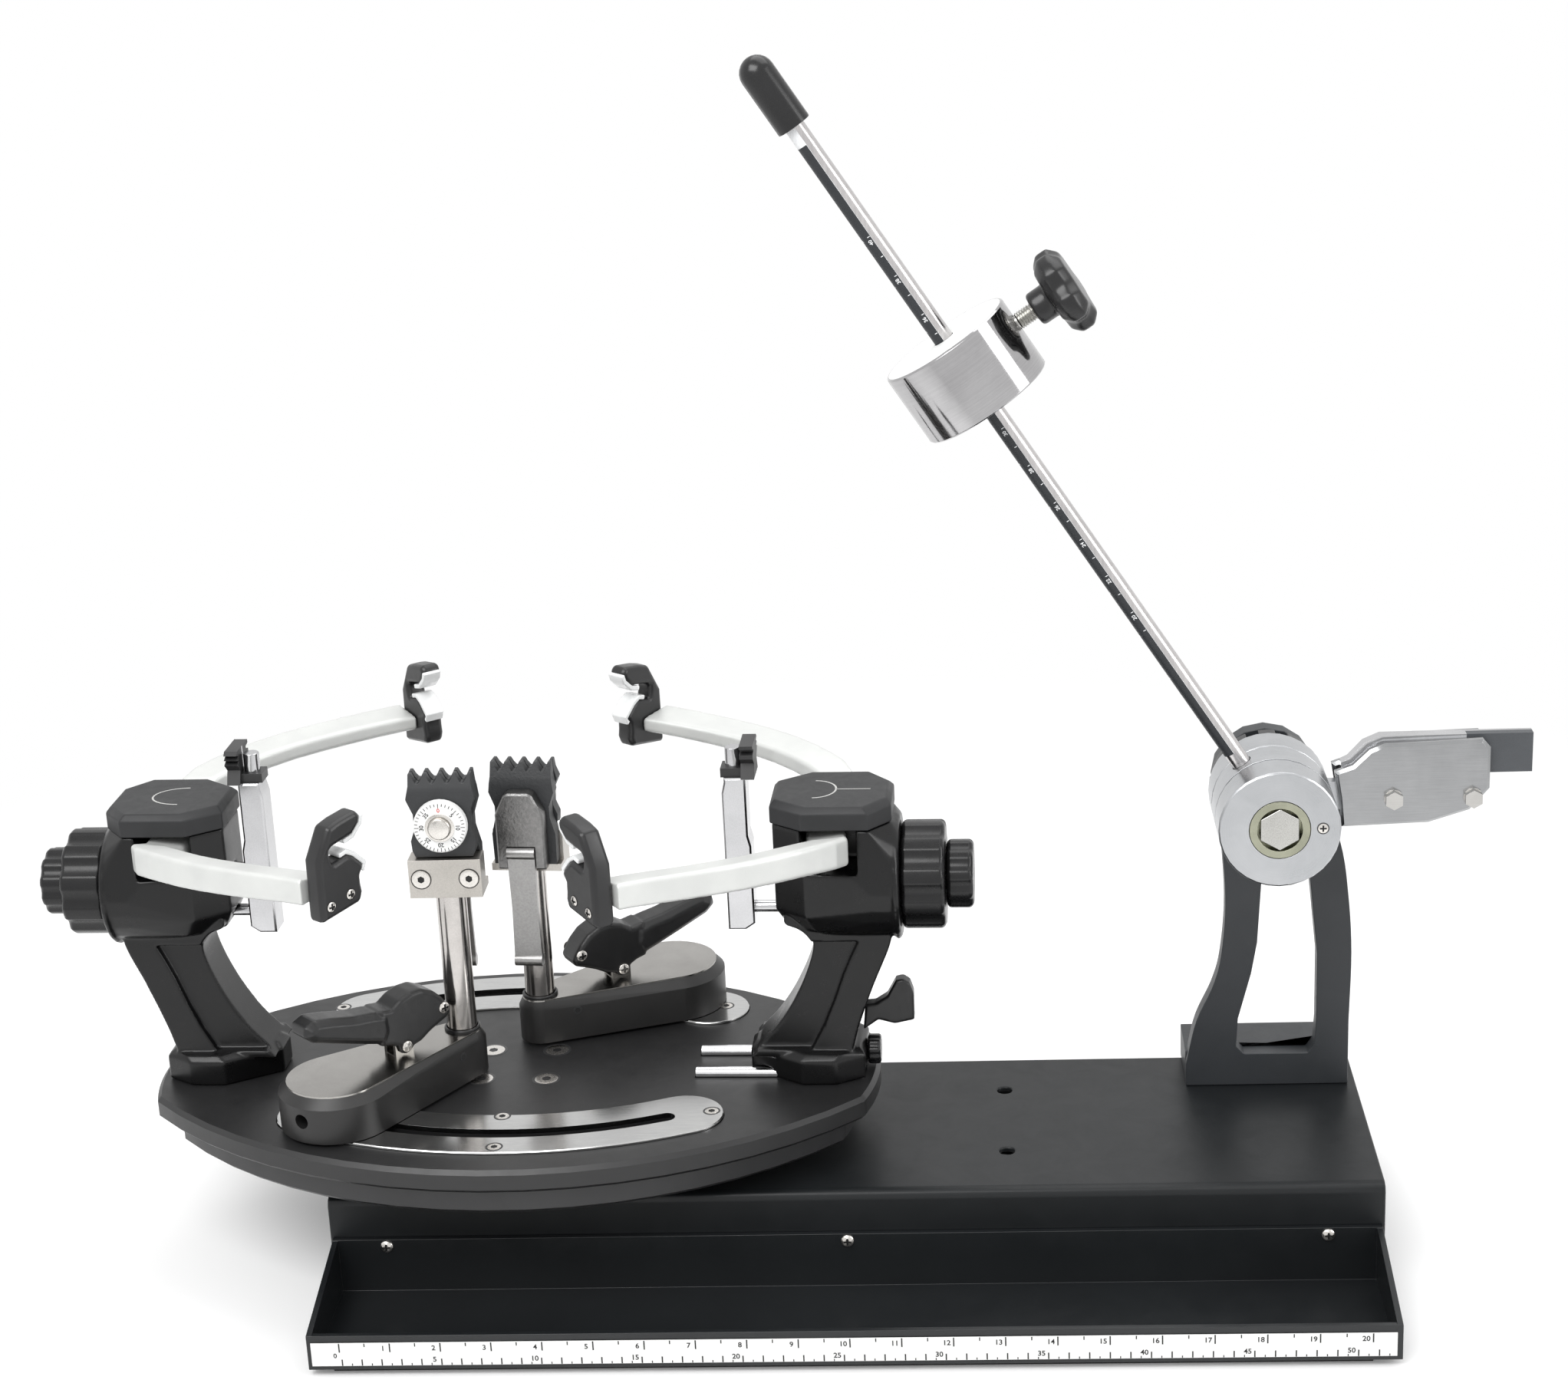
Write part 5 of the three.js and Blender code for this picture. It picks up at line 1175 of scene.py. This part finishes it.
def post_collar(number, base):
    piece = Piece(f"post_collar_{number}", f"clamp_base_{number}", "black_steel", LEVER, base)
    piece.lathe([(8.4, 0.0), (9.6, 0.0), (9.6, 1.2), (9.1, 1.7), (8.4, 1.7)], 48,
                shift(POST_X, 0, CLAMP_TOP + 0.9))
    piece.done()


for number in (1, 2):
    dial_parts(number, head_frame(number))
    block_screws(number, head_frame(number))
    lever_screws(number, clamp_frame(number))
    set_screw(number, clamp_frame(number))
    post_collar(number, clamp_frame(number))

# Stage, light and camera. Lengths from here to the camera are metres.
FLOOR_GLOW = 0.14
FLOOR_HALF = 30
FLOOR_DROP = -0.0005
SKY = ((0.0, 0.55), (0.05, 0.12), (0.15, 0.16), (0.3, 0.78), (0.8, 0.82), (1.0, 0.45))


def backdrop_rays(tree):
    """1 for the rays that see the plain white background: the eye's, and those off gloss."""
    path = tree.nodes.new("ShaderNodeLightPath").outputs
    seen = math_node(tree, "MAXIMUM", path["Is Camera Ray"], path["Is Glossy Ray"])
    return math_node(tree, "MAXIMUM", seen, path["Is Transmission Ray"])


def emission(tree, strength):
    node = tree.nodes.new("ShaderNodeEmission")
    node.inputs[1].default_value = strength
    return node.outputs[0]


def mix_shader(tree, factor, first, second):
    node = tree.nodes.new("ShaderNodeMixShader")
    for i, source in enumerate((factor, first, second)):
        link(tree, source, node.inputs[i])
    return node.outputs[0]


def stage():
    """A pale floor that keeps the machine's shadow and turns plain white away from it."""
    material, tree, shader, vector = new_material("studio_floor")
    shader.inputs["Roughness"].default_value = 0.9
    shader.inputs["Base Color"].default_value = (0.86, 0.86, 0.86, 1)
    near = tree.nodes.new("ShaderNodeAddShader")
    link(tree, shader.outputs[0], near.inputs[0])
    link(tree, emission(tree, FLOOR_GLOW), near.inputs[1])
    away = span(tree, vector_node(tree, "LENGTH", vector), 0.5, 0.95, 0.0, 1.0)
    seen = mix_shader(tree, away, near.outputs[0], emission(tree, 1.0))
    whole = mix_shader(tree, backdrop_rays(tree), shader.outputs[0], seen)
    link(tree, whole, tree.get_output_node("ALL").inputs[0])
    mesh = bpy.data.meshes.new("studio_floor")
    corners = [(-FLOOR_HALF, -FLOOR_HALF), (FLOOR_HALF, -FLOOR_HALF), (FLOOR_HALF, FLOOR_HALF),
               (-FLOOR_HALF, FLOOR_HALF)]
    mesh.from_pydata([(x, y, FLOOR_DROP) for x, y in corners], [], [(0, 1, 2, 3)])
    mesh.materials.append(material)
    floor = add_object("studio_floor", mesh)


def lamp(name, width, height, power, at, to):
    data = bpy.data.lights.new(name, "AREA")
    data.shape = "RECTANGLE"
    data.size = width
    data.size_y = height
    data.energy = power
    obj = add_object(name, data)
    obj.location = at
    obj.rotation_euler = (Vector(to) - Vector(at)).to_track_quat("-Z", "Y").to_euler()


def studio():
    """A white background, a grey sky that lights and mirrors, and three soft lamps."""
    world = bpy.data.worlds.new("studio")
    bpy.context.scene.world = world
    world.use_nodes = True
    tree = world.node_tree
    tree.nodes.clear()
    white = tree.nodes.new("ShaderNodeBackground")
    white.inputs[0].default_value = (1, 1, 1, 1)
    soft = tree.nodes.new("ShaderNodeBackground")
    split = tree.nodes.new("ShaderNodeSeparateXYZ")
    link(tree, tree.nodes.new("ShaderNodeTexCoord").outputs["Generated"], split.inputs[0])
    sky = ramp(tree, split.outputs["Z"], [(at, (level, level, level)) for at, level in SKY])
    link(tree, sky, soft.inputs[0])
    whole = mix_shader(tree, backdrop_rays(tree), soft.outputs[0], white.outputs[0])
    link(tree, whole, tree.nodes.new("ShaderNodeOutputWorld").inputs[0])
    lamp("key_softbox", 1.4, 1.0, 24, (-0.6, -1.1, 1.6), (0, 0, 0.15))
    lamp("top_softbox", 1.8, 1.2, 11, (0.3, 0.5, 1.9), (0, 0, 0.1))
    lamp("side_softbox", 0.6, 1.2, 9, (1.6, -0.5, 0.8), (0.1, 0, 0.2))


# The photo's camera: millimetres and degrees for its place, pixels for its lens.
CAMERA_AT = Vector((321.6, -1238.6, 763.1))
CAMERA_TURN = 4.098
CAMERA_DOWN = 18.35
CAMERA_ROLL = 2.748
PHOTO_WIDE = 2044
PHOTO_TALL = 1816
FOCAL_LENGTH = 3750.9
CENTRE_RIGHT = 1014.2
CENTRE_DOWN = 907.2
SENSOR = 36


def camera():
    aim = turn(CAMERA_TURN, "Z") @ turn(-CAMERA_DOWN, "X") @ turn(CAMERA_ROLL, "Y")
    data = bpy.data.cameras.new("photo_camera")
    data.sensor_width = SENSOR
    data.sensor_fit = "HORIZONTAL"
    data.lens = FOCAL_LENGTH * SENSOR / PHOTO_WIDE
    data.shift_x = (PHOTO_WIDE / 2 - CENTRE_RIGHT) / PHOTO_WIDE
    data.shift_y = (CENTRE_DOWN - PHOTO_TALL / 2) / PHOTO_WIDE
    data.clip_start = 0.01
    data.clip_end = 100
    # The aim looks along its Y, and a camera along its own -Z.
    right, ahead, up = aim.to_3x3().col
    matrix = Matrix((right, up, -ahead)).transposed().to_4x4()
    matrix.translation = spot(*CAMERA_AT)
    obj = add_object("photo_camera", data)
    obj.matrix_world = matrix
    bpy.context.scene.camera = obj


stage()
studio()
camera()
bpy.context.scene.view_settings.view_transform = "Standard"
